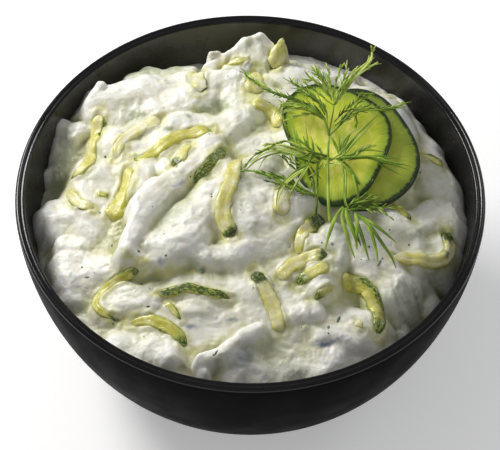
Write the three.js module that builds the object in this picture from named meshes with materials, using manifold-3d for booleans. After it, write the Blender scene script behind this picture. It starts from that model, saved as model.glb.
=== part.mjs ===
// Bowl of tzatziki: a stoneware bowl, the heaped dip, grated cucumber shreds, two cucumber slices
// and a sprig of dill. Millimetres, +Z up, origin at the middle of the bowl's base.
import * as THREE from "three";
import { mergeVertices } from "three/addons/utils/BufferGeometryUtils.js";
import Module from "manifold-3d";

const wasm = await Module();
wasm.setup();

// Bowl
const RIM_RADIUS = 75;
const BOWL_HEIGHT = 70;
const LIP_RADIUS = 1.6; // the lip is a half round of this radius
const WALL_TOP = 3.2; // wall thickness under the lip
const WALL_FOOT = 4.6; // wall thickness at the foot
const FLOOR_HEIGHT = 6;
const CURVE_DEPTH = 73.3; // the outer curve would close this far under the rim
const CURVE_POWER = 1.64;
const CURVE_ROOT = 3.52;
const FOOT_ROUND = 1; // height of the rounded edge round the flat base
const INNER_DEPTH = 64; // the inner wall ends this far under the rim, across from the outer curve
const BOWL_SEGMENTS = 48;
const OUTER_STEPS = 7;
const LIP_STEPS = 5;
const INNER_STEPS = 6;

// Dip
const GAP = 0.3; // left between pieces that touch
const DIP_TOP = 69.5; // height of the heap's middle without its lobes
const DOME_POWER = 3;
const DIP_RADIUS = 69;
const COARSE_WARP = [2.2, 14]; // how far the lobes' outlines wander, over which length
const FINE_WARP = [1, 5.5];
const SWELL = [0.9, 11]; // height of the slow swell over the whole heap, and its length
const RINGS = 22;
const DISC_RADIUS = 73.5;
const NORMAL_REACH = 2.5; // the surface's slope is taken over this distance to each side
const GROOVE = 0.35; // clearance that the dip keeps round what is pressed into it

// Depth of the dip's edge under the rim, by azimuth in degrees.
const EDGE_DEPTH = [
  [-180, 20], [-160, 18], [-130, 14], [-90, 14], [-60, 18], [-35, 28],
  [-16, 32], [0, 24], [12, 20], [36, 16], [55, 13], [77, 13],
  [103, 18], [122, 14], [140, 9], [150, 11], [165, 20], [180, 20],
];

// Each lobe of the dip is a rounded ridge from one point to another:
// x, y, z of its start, x, y, z of its end, half width, drop at that width, width of the blend.
const LOBES = [
  // back left: a dollop with a horn, and a finger by the wall
  [-51.4, 44, 69.6, -49.8, 43.8, 69.6, 1.9, 4, 0.6],
  [-51.4, 43, 69, -53.6, 38, 66, 2.8, 5, 0.8],
  [-48.5, 40, 68, -34, 41.5, 69.5, 8, 5, 2],
  [-34, 41.5, 69.5, -21.5, 45.5, 69, 7.5, 5, 2],
  [-51.5, 36, 66, -33, 35, 68.5, 7, 4.5, 2],
  [-38, 49.5, 64, -23, 53, 65, 5, 3, 2],
  [-61, 31.5, 63, -56.5, 28, 64, 3.6, 4, 1],
  [-60, 26, 61, -62, 17.5, 58, 6.5, 4, 2],
  // the tall crest at the back: its ridge, its face, and the small crest and dollop beside it
  [3.1, 59.2, 77, -2.8, 58.2, 75.8, 1.9, 4, 0.4],
  [-2.8, 58.2, 75.8, -10.5, 55.2, 71.6, 2.2, 4, 0.5],
  [-10.5, 55.2, 71.6, -13.3, 51.6, 69.4, 3, 4, 0.6],
  [3.1, 59, 76.4, 6, 56.6, 73.2, 2, 4, 0.5],
  [1.6, 57.8, 75.6, 1, 51.5, 71, 3.6, 3.5, 1.6],
  [-1.6, 57.4, 75.2, -2.6, 51.3, 70.9, 3.6, 3.5, 1.6],
  [-4.8, 56.6, 74, -6.6, 52, 70.6, 3.6, 3.5, 1.6],
  [8.2, 59.6, 72.2, 5, 51.8, 69.4, 1.9, 5, 0.6],
  [-13.9, 55.9, 71.8, -12, 56.5, 72, 1.6, 4.5, 0.4],
  [-8.8, 48.9, 71.3, -6.8, 48, 71.6, 3.2, 3, 0.6],
  [-13.5, 45, 71.2, -7, 46.5, 71.4, 4.6, 3.5, 1.5],
  // back right, down to the wall
  [7, 48.5, 71, 21.5, 49, 69, 7, 5, 2],
  [21.5, 54, 66, 30.5, 49.5, 65, 5, 4, 2],
  [32.5, 47.5, 65, 48, 39.5, 64, 6, 5, 2],
  [48.5, 39, 63.5, 57.5, 27.5, 62, 6, 5, 2],
  [56.5, 22.5, 63.5, 61.5, 11.5, 61.5, 7.5, 6, 2],
  [60.5, 9.5, 62.5, 64, 0, 60, 8, 7, 2],
  // the middle, and the bed under the slices
  [-30.5, 35, 69.5, -17.5, 38.5, 71, 7, 4, 2],
  [-24, 27.5, 70.5, -12, 26.5, 71.5, 6, 3.5, 1.5],
  [-8, 25.5, 72.5, -1, 34, 72, 7, 4, 1.5],
  [-4.5, 42.5, 71, 15.5, 39.5, 70.5, 9, 5, 3],
  [17, 4, 72.6, 20, 27, 77.6, 8, 3.5, 3],
  [34, 2, 69, 38, 28, 74.6, 11, 3.5, 3],
  [-19, 12, 73, -12, 15.5, 73.5, 6, 4, 1],
  [-27.5, 10, 71, -25, 4, 71.5, 3, 2.5, 1],
  [-32.5, 9, 70, -34.5, -0.5, 70.5, 4.5, 2.5, 1.5],
  [-43.5, 21.5, 68, -37, 11.5, 68.5, 7, 3, 2],
  // the big fold: its rim, its valley, its second ridge and its front
  [-14.5, 12.5, 73.5, -27, -2, 76, 5.5, 5, 1.5],
  [-27, -2, 76, -33.5, -15, 76, 5.5, 6, 1],
  [-33.5, -15, 76, -37, -26, 74, 5.2, 7, 1],
  [-30.5, -20.5, 73, -7.5, 6.5, 73, 7, 4, 1.5],
  [3.5, 7, 74.5, -11, -5.5, 76, 8, 5, 1.5],
  [-11, -5.5, 76, -24, -23, 75, 9, 5, 1.5],
  [-34, -26.5, 72.5, -5.5, -25.5, 71.5, 6.5, 7, 1.5],
  [-3, -12.5, 75, 12, -2.5, 74, 12, 7, 2.5],
  [-1.5, -21.5, 72.5, 13, -11, 72.5, 9, 7, 2],
  // left
  [-62, -4.5, 62, -54, -3, 64.5, 7.5, 6, 1],
  [-60.5, -9, 60.5, -49, -11, 64, 6.5, 4, 1.5],
  [-57.5, -16.5, 61.5, -53, -17, 62.5, 4.2, 3, 0.8],
  [-53.5, -25, 62.5, -41, -25, 66, 9, 5, 1],
  [-52, -31, 60, -46.5, -29.5, 62.5, 7, 4, 1.5],
  [-49, 8, 67, -49, -4.5, 66, 9, 3.5, 2.5],
  [-41.5, -38.5, 63, -30.5, -36.5, 66, 8, 4, 1],
  [-37.5, -54, 61, -23, -54.5, 63, 8, 5, 1],
  [-29.5, -61, 57.5, -18, -62, 58, 5, 4, 1],
  // front middle
  [-21, -35.5, 67.5, -2.5, -35.5, 67.5, 6.5, 3, 2],
  [-17, -43.5, 66.5, -13.5, -42.5, 66.5, 3.4, 2, 0.8],
  [-6, -45.5, 66, -3, -44, 66.5, 3.8, 2.5, 0.8],
  [4.1, -48.3, 66.8, -2, -53, 66.6, 2.8, 3.5, 0.6],
  [-2, -53, 66.6, -5.8, -57.8, 66, 2.8, 3.5, 0.6],
  [-5.8, -57.8, 66, -12.2, -61, 65, 3, 4, 0.6],
  [-12.2, -61, 65, -11.6, -63.2, 63.2, 2.8, 4, 0.8],
  [1.6, -52, 64.6, 1.6, -60, 60.2, 5, 3.5, 1.5],
  [-4, -58, 64.8, -3.5, -63, 61.2, 5, 3.5, 1.2],
  [4, -57.5, 60, 24, -56.5, 61.5, 9, 4.5, 2],
  [13, -43.5, 66, 18.5, -42.5, 66.5, 4.6, 3, 0.8],
  [22, -46.5, 64, 35.5, -45.5, 64, 8, 4, 1.5],
  // right
  [18.5, -20, 71.5, 22, -19, 71.5, 4, 3, 0.8],
  [26, -16.5, 71, 22, -33, 69.5, 8, 6, 0.8],
  [35.5, -17.5, 69, 43.5, -29.5, 65.5, 11, 6, 1.5],
  [47, -9, 67, 60.5, -3, 62.5, 9.5, 6, 2],
  [52.5, -16.5, 65, 58.5, -14.5, 62, 8.5, 5, 1.5],
  [43.5, -30.5, 63, 47, -35, 60.5, 4.2, 3.5, 1],
  [43.5, -38, 61, 47.5, -43.5, 56, 4.4, 4, 1],
  [51.5, -26.5, 60.5, 56, -31.5, 55.5, 5.5, 4, 1],
  [37.5, -49, 60, 42, -51, 57, 4.5, 3, 1],
  [24, -58, 58.5, 35, -52.5, 58.5, 5, 3.5, 1],
  [5, -61.5, 57, 16.5, -60.5, 57.5, 4.5, 3.5, 1],
  [-12.5, -62, 57.5, -2, -62, 56, 5, 3.5, 1],
];

// Shreds of cucumber: width, then the points of the middle line. A third number lifts a point
// off the dip, where the shred's end stands free.
const SHRED_THICKNESS = 0.56; // of the width
const SHRED_RISE = 0.12; // the middle line's height over the dip, as a share of the thickness
const SHRED_TAPER = 0.32; // share of the section lost at the ends
const SHRED_POINT = 0.18; // length of the end's point, as a share of the width
const SHRED_STEP = 5.6; // length of one step along a shred
const SHRED_SIDES = 6;
const SHREDS = {
  shred_01: [4.4, [[-50, 33], [-51, 27], [-52, 15.5], [-53, 11], [-55, 8.8], [-58, 9.3]]],
  shred_02: [4.1, [[-30.2, 29], [-34.7, 27], [-41, 21.5], [-43.2, 17], [-43.4, 13.2]]],
  shred_03: [4.4, [[-13, 23.3], [-20, 23], [-26.5, 20], [-31.6, 15.2], [-35, 12.6], [-38.4, 13]]],
  shred_04: [5.6, [[-39, 9], [-39.7, 3], [-41.4, -3], [-43.9, -9.4]]],
  shred_05: [3.8, [[-58.8, 4], [-54.5, -3.5], [-49.8, -6.2]]],
  shred_06: [1.9, [[-48.8, -0.3], [-45.6, -1]]],
  shred_07: [3.8, [[-20, 17.5], [-22.2, 11.5], [-24.4, 7.4]]],
  shred_08: [3.8, [[-7.8, 16.2], [-12.6, 8.9], [-18.3, 0]]],
  shred_09: [5, [[-4.3, 12.2], [-6.5, -2.5], [-8.5, -10.4], [-7.8, -15.6], [-5.1, -19.8]]],
  shred_10: [5.4, [[9.5, 60.9, 2.4], [8.7, 57.2, 1.4], [6.6, 50.8, 0.6]]],
  shred_11: [5.2, [[-18.2, 49, 0.6], [-17.9, 43.8], [-17.4, 39.2]]],
  shred_12: [2, [[-9.7, 52.3], [-6, 52.6], [-2.2, 52]]],
  shred_13: [6.4, [[1, 49], [0.6, 44], [-0.4, 39.4]]],
  shred_14: [4.5, [[-0.2, 34.4], [5.8, 32.8], [9.4, 26.4]]],
  shred_15: [5.6, [[10.3, -3], [9.8, -7.8], [10.1, -12]]],
  shred_16: [4.4, [[23.2, -9.6], [17.7, -14.9], [15.3, -23.2]]],
  shred_17: [4.9, [[24, -24.8], [18.6, -25.2], [13.2, -28.4], [9.8, -32.4]]],
  shred_18: [4.2, [[24.6, -28.9], [21.2, -30.6], [17.6, -32.5], [15.2, -33.7]]],
  shred_19: [5, [[1.4, -30.5], [5.2, -36.5], [8.4, -43.3], [10.1, -49.6]]],
  shred_20: [3.1, [[-28.2, -38.2], [-22.6, -37.8], [-18.8, -36.8], [-14.8, -38], [-10, -38.9],
    [-5.2, -40]]],
  shred_21: [2.6, [[-25.2, -41], [-22.8, -43.4], [-20.2, -47]]],
  shred_22: [3.3, [[-34, -31.8], [-37, -31.5], [-41, -32], [-45, -34.4], [-47.3, -37.8], [-46.4, -41.2],
    [-43.2, -43.8], [-39.2, -45]]],
  shred_23: [4.5, [[-36.6, -46], [-30.4, -46], [-24.8, -48.4], [-21, -51.4], [-18.8, -55.2]]],
  shred_24: [5.2, [[28.8, -31.8], [32.6, -30.8], [36.6, -32.8], [39.3, -37.5], [40.7, -43], [40.2, -48.6]]],
  shred_25: [2.9, [[20.8, -39.2], [23.6, -37.4], [26.2, -35.4]]],
  shred_26: [4.4, [[45.2, -22], [51, -21.8], [57, -21.4], [61.8, -19], [63.8, -14.4], [62.2, -8.4]]],
  shred_27: [2.9, [[55, 21.4], [59, 19.3], [62.6, 17.6]]],
  shred_28: [3.2, [[46, -0.4], [48.4, -3.9], [51, -6.9]]],
  shred_29: [2.6, [[41.7, 45], [46, 43.6]]],
  shred_30: [2.6, [[33.4, -45], [35.2, -47.6]]],
};

// Cucumber slices: middle of the upper face, mean radius, and the two waves of the outline
// as [height, direction in degrees], the first with two crests and the second with three.
const SLICE_THICKNESS = 2.5;
const SLICE_BEVEL = 0.3;
const SLICE_TILT = 13; // degrees, the far edge is the higher one
const SLICE_POINTS = 32;
const SLICES = {
  slice_front: { middle: [27.2, 15.5, 77.6], radius: 18.9, oval: [2.5, 101], lobed: [2, 20] },
  slice_back: { middle: [36.1, 14.3, 74.1], radius: 19.2, oval: [2.4, 97], lobed: [1.2, -10] },
};

// Dill: each branch is a line of points, a radius at its root, and how many leaflets it bears
// on each side with their length.
const DILL_TIP = 0.28; // radius at the tips
const DILL_STEP = 6.5; // length of one step along a branch
const DILL_CLEAR = 1.0; // height of the sprig's axis over the slices
const DILL_OVER_DIP = 3.2; // height of the sprig's axis over the dip and its shreds
const DILL = [
  [0.75, 0, 0, [[25.2, -13.7, 72.6], [24.6, -8, 75.2], [24.4, 4, 77.4], [24.6, 14.5, 80.8],
    [26, 24, 84.6], [25.7, 26, 86]]],
  [0.6, 0, 0, [[24.4, 7, 78], [26.9, 7.8, 77.8], [29.8, 4, 77], [30, -7, 75], [31, -10, 74.2]]],
  [0.6, 0, 0, [[24.4, 8.5, 78.4], [21.8, 6.7, 77.8], [20.8, 3, 77], [20.7, -2, 75.5], [20.9, -7.5, 74.4],
    [20, -11.7, 72.5]]],
  // sweeping left
  [0.6, 4, 7, [[24.4, 8, 78.3], [19.4, 8.3, 80], [15.7, 9.3, 81.2], [10.3, 12.4, 80], [4.3, 8, 80.5],
    [0.5, 6.5, 79.2], [-2.2, 3.8, 77]]],
  [0.5, 2, 6, [[19.4, 8.3, 80], [15.4, 6.5, 79.5], [11, 9, 79], [6.2, 7.2, 79.6], [1.5, 5.2, 78.6],
    [-1.3, 3, 77]]],
  [0.5, 4, 5, [[20.8, -5, 75.2], [15.5, -6, 78], [9.2, -3, 78.6], [2.2, 1, 78.4], [-2.5, 2.2, 77.3]]],
  [0.5, 0, 0, [[19.4, 8.3, 80], [18, 4.2, 79.6], [12.9, -1, 80.4], [9.2, -5, 78.8], [8, -10.7, 76.4]]],
  [0.5, 0, 0, [[18, 4.2, 79.6], [14.8, -3, 79.4], [12.7, -6.4, 77]]],
  // up and to the left
  [0.6, 4, 7, [[24.6, 14.5, 80.8], [22.9, 19, 83.4], [19.6, 21.5, 84.6], [12.7, 28, 82], [4.9, 34, 79.6],
    [1.3, 38.3, 77.5], [-2.5, 44.4, 75]]],
  [0.5, 2, 5, [[23.7, 17.4, 82.5], [23.4, 21.5, 85], [20.4, 24, 86.5], [17.1, 27, 86.6], [12.6, 35, 82.5]]],
  [0.5, 2, 5, [[22.9, 19, 83.4], [19.9, 20.7, 83.8], [16.4, 22.7, 84.3], [12.6, 24.5, 83], [9, 27, 78.5]]],
  // up and to the right
  [0.55, 3, 8, [[25.7, 26, 86], [24.6, 28.5, 87], [22.6, 33, 86.4], [20.4, 37, 85.4]]],
  [0.6, 2, 7, [[26, 24, 84.6], [27.8, 28, 86.5], [31, 35, 84.6], [35, 39.5, 84.6], [37.7, 41.5, 87],
    [38.1, 43.6, 91]]],
  [0.5, 0, 0, [[31, 35, 84.6], [36, 40, 83.6], [40.5, 44, 83]]],
  [0.55, 2, 6, [[24.6, 14.5, 80.8], [28, 17.8, 82.1], [31.4, 20.7, 83.6], [35.3, 22.2, 84.4],
    [39.8, 22.8, 84], [44.5, 24.5, 83.5], [48, 26, 83]]],
  [0.5, 3, 7, [[26.9, 7.8, 77.8], [31.4, 12.2, 80.8], [35.3, 17, 82], [40, 22, 82]]],
  // right
  [0.55, 2, 5, [[26.9, 7.8, 77.8], [32.5, 7.3, 79.2], [36.7, 7.3, 79.7], [41.7, 6.9, 79.6],
    [46.8, 7.3, 79.4]]],
  [0.5, 0, 0, [[32.5, 7.3, 79.2], [35.6, 9.2, 80.8], [39, 11, 80.5]]],
  [0.5, 0, 0, [[40, 7, 79.6], [44.3, 5.6, 79.3], [48.4, 5, 79], [52, 4.4, 78.2]]],
  [0.6, 0, 0, [[28.2, 6.5, 77.6], [31, 3.2, 77.6], [32.8, 1.2, 76.8], [34.6, -0.5, 75.8]]],
  [0.5, 0, 0, [[32.3, 1.8, 77.1], [33.3, -2.5, 76.2], [34, -6.3, 75.2]]],
  // the lower fan
  [0.5, 0, 0, [[31, -10, 74.2], [35.5, -8.6, 73.4], [41, -7.6, 72.6], [47, -6.4, 71.6]]],
  [0.5, 0, 0, [[31, -10, 74.2], [27, -13, 74], [23.6, -23.7, 73.4]]],
  [0.5, 0, 0, [[31, -10, 74.2], [31.6, -16.5, 73.6], [33.1, -25, 72]]],
  [0.5, 0, 0, [[31, -10, 74.2], [33.2, -15, 73.6], [33.9, -21.7, 72.4]]],
  [0.5, 0, 0, [[31, -10, 74.2], [35, -17, 73.2], [36.8, -25.3, 71.8]]],
  [0.5, 0, 0, [[31, -10, 74.2], [37, -16.5, 73], [40, -24.8, 71.4]]],
  [0.5, 0, 0, [[31, -10, 74.2], [38.5, -17, 72.8], [44.5, -27, 70.4]]],
  [0.5, 0, 0, [[31, -10, 74.2], [39.5, -13.6, 72.6], [46.5, -17, 70.6]]],
];
const LEAF_RADIUS = 0.42;
const LEAF_ANGLE = 38; // degrees from the branch
const LEAF_RISE = 14; // degrees up from the branch
const LEAF_SPAN = [0.3, 0.9]; // leaflets stand along this part of a branch
const LEAF_SCALE = [1, 0.7]; // share of a leaflet's length at the two ends of that part
const FILAMENT_SIDES = 3;
const FILAMENT_POINT = 0.3; // length of a filament's end point

const radians = THREE.MathUtils.degToRad;

// ---------------------------------------------------------------- solids

// A geometry reduced to its shared vertices, without the flat triangles at a lathe's axis.
function merged(geometry) {
  const bare = geometry.clone();
  bare.deleteAttribute("normal");
  bare.deleteAttribute("uv");
  const joined = mergeVertices(bare, 1e-4);
  const index = joined.index.array;
  const kept = [];
  for (let i = 0; i < index.length; i += 3) {
    const [a, b, c] = [index[i], index[i + 1], index[i + 2]];
    if (a !== b && b !== c && c !== a) kept.push(a, b, c);
  }
  joined.setIndex(kept);
  return joined;
}

function toSolid(geometry) {
  const joined = merged(geometry);
  const mesh = { numProp: 3 };
  mesh.vertProperties = new Float32Array(joined.attributes.position.array);
  mesh.triVerts = new Uint32Array(joined.index.array);
  return new wasm.Manifold(new wasm.Mesh(mesh));
}

// The largest of a solid's separate bodies, without the scraps that a cut leaves.
function largest(solid) {
  return solid.decompose().sort((a, b) => b.volume() - a.volume())[0];
}

function toGeometry(solid) {
  const mesh = solid.getMesh();
  const geometry = new THREE.BufferGeometry();
  geometry.setAttribute("position", new THREE.BufferAttribute(mesh.vertProperties, 3));
  geometry.setIndex(new THREE.BufferAttribute(mesh.triVerts, 1));
  return geometry;
}

function meshData(vertices, triangles) {
  const geometry = new THREE.BufferGeometry();
  geometry.setAttribute("position", new THREE.Float32BufferAttribute(vertices, 3));
  geometry.setIndex(triangles);
  return geometry;
}

// A body of revolution round Z from a profile of (radius, height) points, axis to axis.
function revolved(profile) {
  const geometry = new THREE.LatheGeometry(profile, BOWL_SEGMENTS);
  return geometry.rotateX(Math.PI / 2);
}

// ---------------------------------------------------------------- bowl

// Point of the outer wall at a depth under the rim, as (radius, height).
function outerPoint(depth) {
  const radius = RIM_RADIUS * (1 - (depth / CURVE_DEPTH) ** CURVE_POWER) ** (1 / CURVE_ROOT);
  return new THREE.Vector2(radius, BOWL_HEIGHT - depth);
}

// Point of the inner wall across from an outer point, moved in by a further clearance.
function innerPoint(depth, clearance = 0) {
  const step = 0.01;
  const along = outerPoint(depth + step).sub(outerPoint(depth - step)).normalize();
  const inward = new THREE.Vector2(along.y, -along.x);
  const wall = THREE.MathUtils.lerp(WALL_TOP, WALL_FOOT, depth / BOWL_HEIGHT);
  return outerPoint(depth).addScaledVector(inward, wall + clearance);
}

function innerProfile(clearance) {
  const points = [new THREE.Vector2(0, FLOOR_HEIGHT + clearance)];
  for (let i = INNER_STEPS; i >= 0; i -= 1) {
    const share = Math.sin((i / INNER_STEPS) * Math.PI / 2);
    const depth = THREE.MathUtils.lerp(LIP_RADIUS, INNER_DEPTH, share);
    points.push(innerPoint(depth, clearance));
  }
  return points;
}

function bowlProfile() {
  const foot = outerPoint(BOWL_HEIGHT - FOOT_ROUND);
  const points = [new THREE.Vector2(0, 0), new THREE.Vector2(foot.x - 2 * FOOT_ROUND, 0)];
  for (let i = OUTER_STEPS; i >= 0; i -= 1) {
    const span = BOWL_HEIGHT - FOOT_ROUND - LIP_RADIUS;
    points.push(outerPoint(LIP_RADIUS + span * Math.sin((i / OUTER_STEPS) * Math.PI / 2)));
  }
  const lipMiddle = RIM_RADIUS - LIP_RADIUS;
  for (let i = 1; i < LIP_STEPS; i += 1) {
    const angle = (i / LIP_STEPS) * Math.PI;
    const radius = lipMiddle + LIP_RADIUS * Math.cos(angle);
    points.push(new THREE.Vector2(radius, BOWL_HEIGHT - LIP_RADIUS + LIP_RADIUS * Math.sin(angle)));
  }
  return points.concat(innerProfile(0).reverse());
}

// ---------------------------------------------------------------- dip surface

const fraction = (value) => value - Math.floor(value);

// Direction of the noise's gradient at a whole-numbered grid point.
function gradientAngle(i, j, seed) {
  return 2 * Math.PI * fraction(Math.sin(i * 127.1 + j * 311.7 + seed * 74.7) * 43758.5453);
}

function gradientDot(i, j, seed, dx, dy) {
  const angle = gradientAngle(i, j, seed);
  return Math.cos(angle) * dx + Math.sin(angle) * dy;
}

// Smooth noise between about -1 and 1.
function noise(x, y, seed) {
  const [i, j] = [Math.floor(x), Math.floor(y)];
  const [u, v] = [x - i, y - j];
  const fade = (t) => t * t * t * (t * (t * 6 - 15) + 10);
  const near = THREE.MathUtils.lerp(
    gradientDot(i, j, seed, u, v), gradientDot(i + 1, j, seed, u - 1, v), fade(u));
  const far = THREE.MathUtils.lerp(
    gradientDot(i, j + 1, seed, u, v - 1), gradientDot(i + 1, j + 1, seed, u - 1, v - 1), fade(u));
  return 1.5 * THREE.MathUtils.lerp(near, far, fade(v));
}

// The larger of two heights, with a rounded valley where they meet.
function smoothMax(a, b, blend) {
  const share = Math.max(blend - Math.abs(a - b), 0) / blend;
  return Math.max(a, b) + share * share * blend * 0.25;
}

function edgeDepth(azimuth) {
  const next = EDGE_DEPTH.findIndex((entry) => entry[0] >= azimuth);
  if (next < 1) return EDGE_DEPTH[0][1];
  const [[a, low], [b, high]] = [EDGE_DEPTH[next - 1], EDGE_DEPTH[next]];
  return THREE.MathUtils.mapLinear(azimuth, a, b, low, high);
}

function domeHeight(x, y) {
  const azimuth = THREE.MathUtils.radToDeg(Math.atan2(y, x));
  const fall = DIP_TOP - BOWL_HEIGHT + edgeDepth(azimuth);
  return DIP_TOP - fall * Math.min(Math.hypot(x, y) / DIP_RADIUS, 1.1) ** DOME_POWER;
}

function lobeHeight(x, y, [x0, y0, z0, x1, y1, z1, width, drop]) {
  const [dx, dy] = [x1 - x0, y1 - y0];
  const along = ((x - x0) * dx + (y - y0) * dy) / (dx * dx + dy * dy);
  const t = THREE.MathUtils.clamp(along, 0, 1);
  const away = Math.hypot(x - x0 - t * dx, y - y0 - t * dy) / width;
  return z0 + (z1 - z0) * t - drop * away ** 3;
}

// Height of the dip's surface over the base: a dome, its lobes and a slow swell.
function dipHeight(x, y) {
  const wave = ([amplitude, length], seed) => amplitude * noise(x / length, y / length, seed);
  const wx = x + wave(COARSE_WARP, 1) + wave(FINE_WARP, 2);
  const wy = y + wave(COARSE_WARP, 3) + wave(FINE_WARP, 4);
  let height = domeHeight(x, y);
  for (const lobe of LOBES) height = smoothMax(height, lobeHeight(wx, wy, lobe), lobe[8]);
  return height + wave(SWELL, 9);
}

// A disc of rings, each six vertices longer than the last, with the dip's height on top,
// closed by a flat underside.
function heapGeometry() {
  const vertices = [0, 0, dipHeight(0, 0)];
  const triangles = [];
  const firstOf = (ring) => (ring === 0 ? 0 : 1 + 3 * ring * (ring - 1));
  for (let ring = 1; ring <= RINGS; ring += 1) {
    const radius = (DISC_RADIUS * ring) / RINGS;
    for (let k = 0; k < 6 * ring; k += 1) {
      const angle = (k / (6 * ring)) * 2 * Math.PI;
      const [x, y] = [radius * Math.cos(angle), radius * Math.sin(angle)];
      vertices.push(x, y, dipHeight(x, y));
    }
  }
  const at = (ring, k) => firstOf(ring) + (ring === 0 ? 0 : k % (6 * ring));
  for (let ring = 1; ring <= RINGS; ring += 1) {
    for (let side = 0; side < 6; side += 1) {
      for (let k = 0; k < ring; k += 1) {
        const [outer, inner] = [side * ring + k, side * (ring - 1) + k];
        triangles.push(at(ring, outer), at(ring, outer + 1), at(ring - 1, inner));
        if (k < ring - 1) {
          triangles.push(at(ring, outer + 1), at(ring - 1, inner + 1), at(ring - 1, inner));
        }
      }
    }
  }
  return closeBelow(vertices, triangles, firstOf(RINGS), 6 * RINGS);
}

// Adds walls down from the outer ring, and an underside below the bowl's floor.
function closeBelow(vertices, triangles, first, count) {
  const below = -5;
  const lower = vertices.length / 3;
  for (let k = 0; k < count; k += 1) {
    vertices.push(vertices[3 * (first + k)], vertices[3 * (first + k) + 1], below);
  }
  vertices.push(0, 0, below);
  for (let k = 0; k < count; k += 1) {
    const next = (k + 1) % count;
    triangles.push(first + k, lower + k, first + next);
    triangles.push(first + next, lower + k, lower + next);
    triangles.push(lower + k, lower + count, lower + next);
  }
  return meshData(vertices, triangles);
}

function cavitySolid() {
  const profile = innerProfile(GAP);
  const top = 95;
  const edge = profile[profile.length - 1];
  profile.push(new THREE.Vector2(edge.x, top), new THREE.Vector2(0, top));
  return toSolid(revolved(profile));
}

// ---------------------------------------------------------------- shreds

// A closed tube round a line of stations {point, side, up, a, b}, pointed at both ends.
function tubeGeometry(stations, sides, overhang) {
  const vertices = [];
  const triangles = [];
  for (const { point, side, up, a, b } of stations) {
    for (let k = 0; k < sides; k += 1) {
      const angle = ((k + 0.5) / sides) * 2 * Math.PI;
      const corner = point.clone().addScaledVector(side, a * Math.cos(angle));
      corner.addScaledVector(up, b * Math.sin(angle));
      vertices.push(...corner.toArray());
    }
  }
  for (let i = 0; i + 1 < stations.length; i += 1) {
    for (let k = 0; k < sides; k += 1) {
      const [p, q] = [i * sides + k, i * sides + ((k + 1) % sides)];
      triangles.push(p, p + sides, q, q, p + sides, q + sides);
    }
  }
  const last = stations.length - 1;
  const ends = [[0, 1, -1], [last, last - 1, 1]];
  for (const [end, beside, facing] of ends) {
    const out = stations[end].point.clone().sub(stations[beside].point).setLength(overhang);
    const tip = vertices.length / 3;
    vertices.push(...stations[end].point.clone().add(out).toArray());
    for (let k = 0; k < sides; k += 1) {
      const [p, q] = [end * sides + k, end * sides + ((k + 1) % sides)];
      if (facing > 0) triangles.push(q, p, tip);
      else triangles.push(p, q, tip);
    }
  }
  return meshData(vertices, triangles);
}

// Normal of the dip's surface, taken over a few millimetres.
function dipNormal(x, y) {
  const riseX = dipHeight(x + NORMAL_REACH, y) - dipHeight(x - NORMAL_REACH, y);
  const riseY = dipHeight(x, y + NORMAL_REACH) - dipHeight(x, y - NORMAL_REACH);
  return new THREE.Vector3(-riseX, -riseY, 2 * NORMAL_REACH).normalize();
}

// A shred, or with a swell the channel that the dip keeps round it.
function shredGeometry([width, plan], swell = 0) {
  const thickness = width * SHRED_THICKNESS;
  const points = plan.map(([x, y, lift = 0]) => {
    const height = dipHeight(x, y) + lift + SHRED_RISE * thickness;
    return new THREE.Vector3(x, y, height);
  });
  const curve = new THREE.CatmullRomCurve3(points, false, "centripetal");
  const steps = Math.max(2, Math.round(curve.getLength() / SHRED_STEP));
  const stations = curve.getPoints(steps).map((point, i) => {
    const tangent = curve.getTangent(i / steps);
    const side = tangent.clone().cross(dipNormal(point.x, point.y)).normalize();
    const up = side.clone().cross(tangent).normalize();
    const end = Math.abs((2 * i) / steps - 1);
    const full = 1 - SHRED_TAPER * end ** 4;
    return { point, side, up, a: full * width / 2 + swell, b: full * thickness / 2 + swell };
  });
  return tubeGeometry(stations, SHRED_SIDES, SHRED_POINT * width + swell);
}

// ---------------------------------------------------------------- slices

function sliceRadius({ radius, oval, lobed }, angle) {
  const two = oval[0] * Math.cos(2 * (angle - radians(oval[1])));
  return radius + two + lobed[0] * Math.cos(3 * (angle - radians(lobed[1])));
}

function sliceGeometry(slice, swell = 0) {
  const outline = [];
  for (let i = 0; i < SLICE_POINTS; i += 1) {
    const angle = (i / SLICE_POINTS) * 2 * Math.PI;
    const radius = sliceRadius(slice, angle) - SLICE_BEVEL + swell;
    outline.push(new THREE.Vector2(radius * Math.cos(angle), radius * Math.sin(angle)));
  }
  const depth = SLICE_THICKNESS - 2 * SLICE_BEVEL + 2 * swell;
  const bevel = { bevelEnabled: true, bevelSegments: 1, bevelSize: SLICE_BEVEL, bevelThickness: SLICE_BEVEL };
  const geometry = new THREE.ExtrudeGeometry(new THREE.Shape(outline), { depth, ...bevel });
  geometry.translate(0, 0, SLICE_BEVEL - SLICE_THICKNESS - swell);
  geometry.rotateX(radians(SLICE_TILT));
  return geometry.translate(...slice.middle);
}

// Height of a slice's upper face over a point, or -1 where the slice isn't.
function sliceTop(slice, x, y) {
  const [mx, my, mz] = slice.middle;
  const v = (y - my) / Math.cos(radians(SLICE_TILT));
  const margin = 1.5;
  const inside = Math.hypot(x - mx, v) < sliceRadius(slice, Math.atan2(v, x - mx)) + margin;
  return inside ? mz + (y - my) * Math.tan(radians(SLICE_TILT)) : -1;
}

// ---------------------------------------------------------------- dill

// Lowest height that the sprig's axis may have over a point.
function dillFloor(x, y) {
  const tops = Object.values(SLICES).map((slice) => sliceTop(slice, x, y) + DILL_CLEAR);
  return Math.max(dipHeight(x, y) + DILL_OVER_DIP, ...tops);
}

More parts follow.
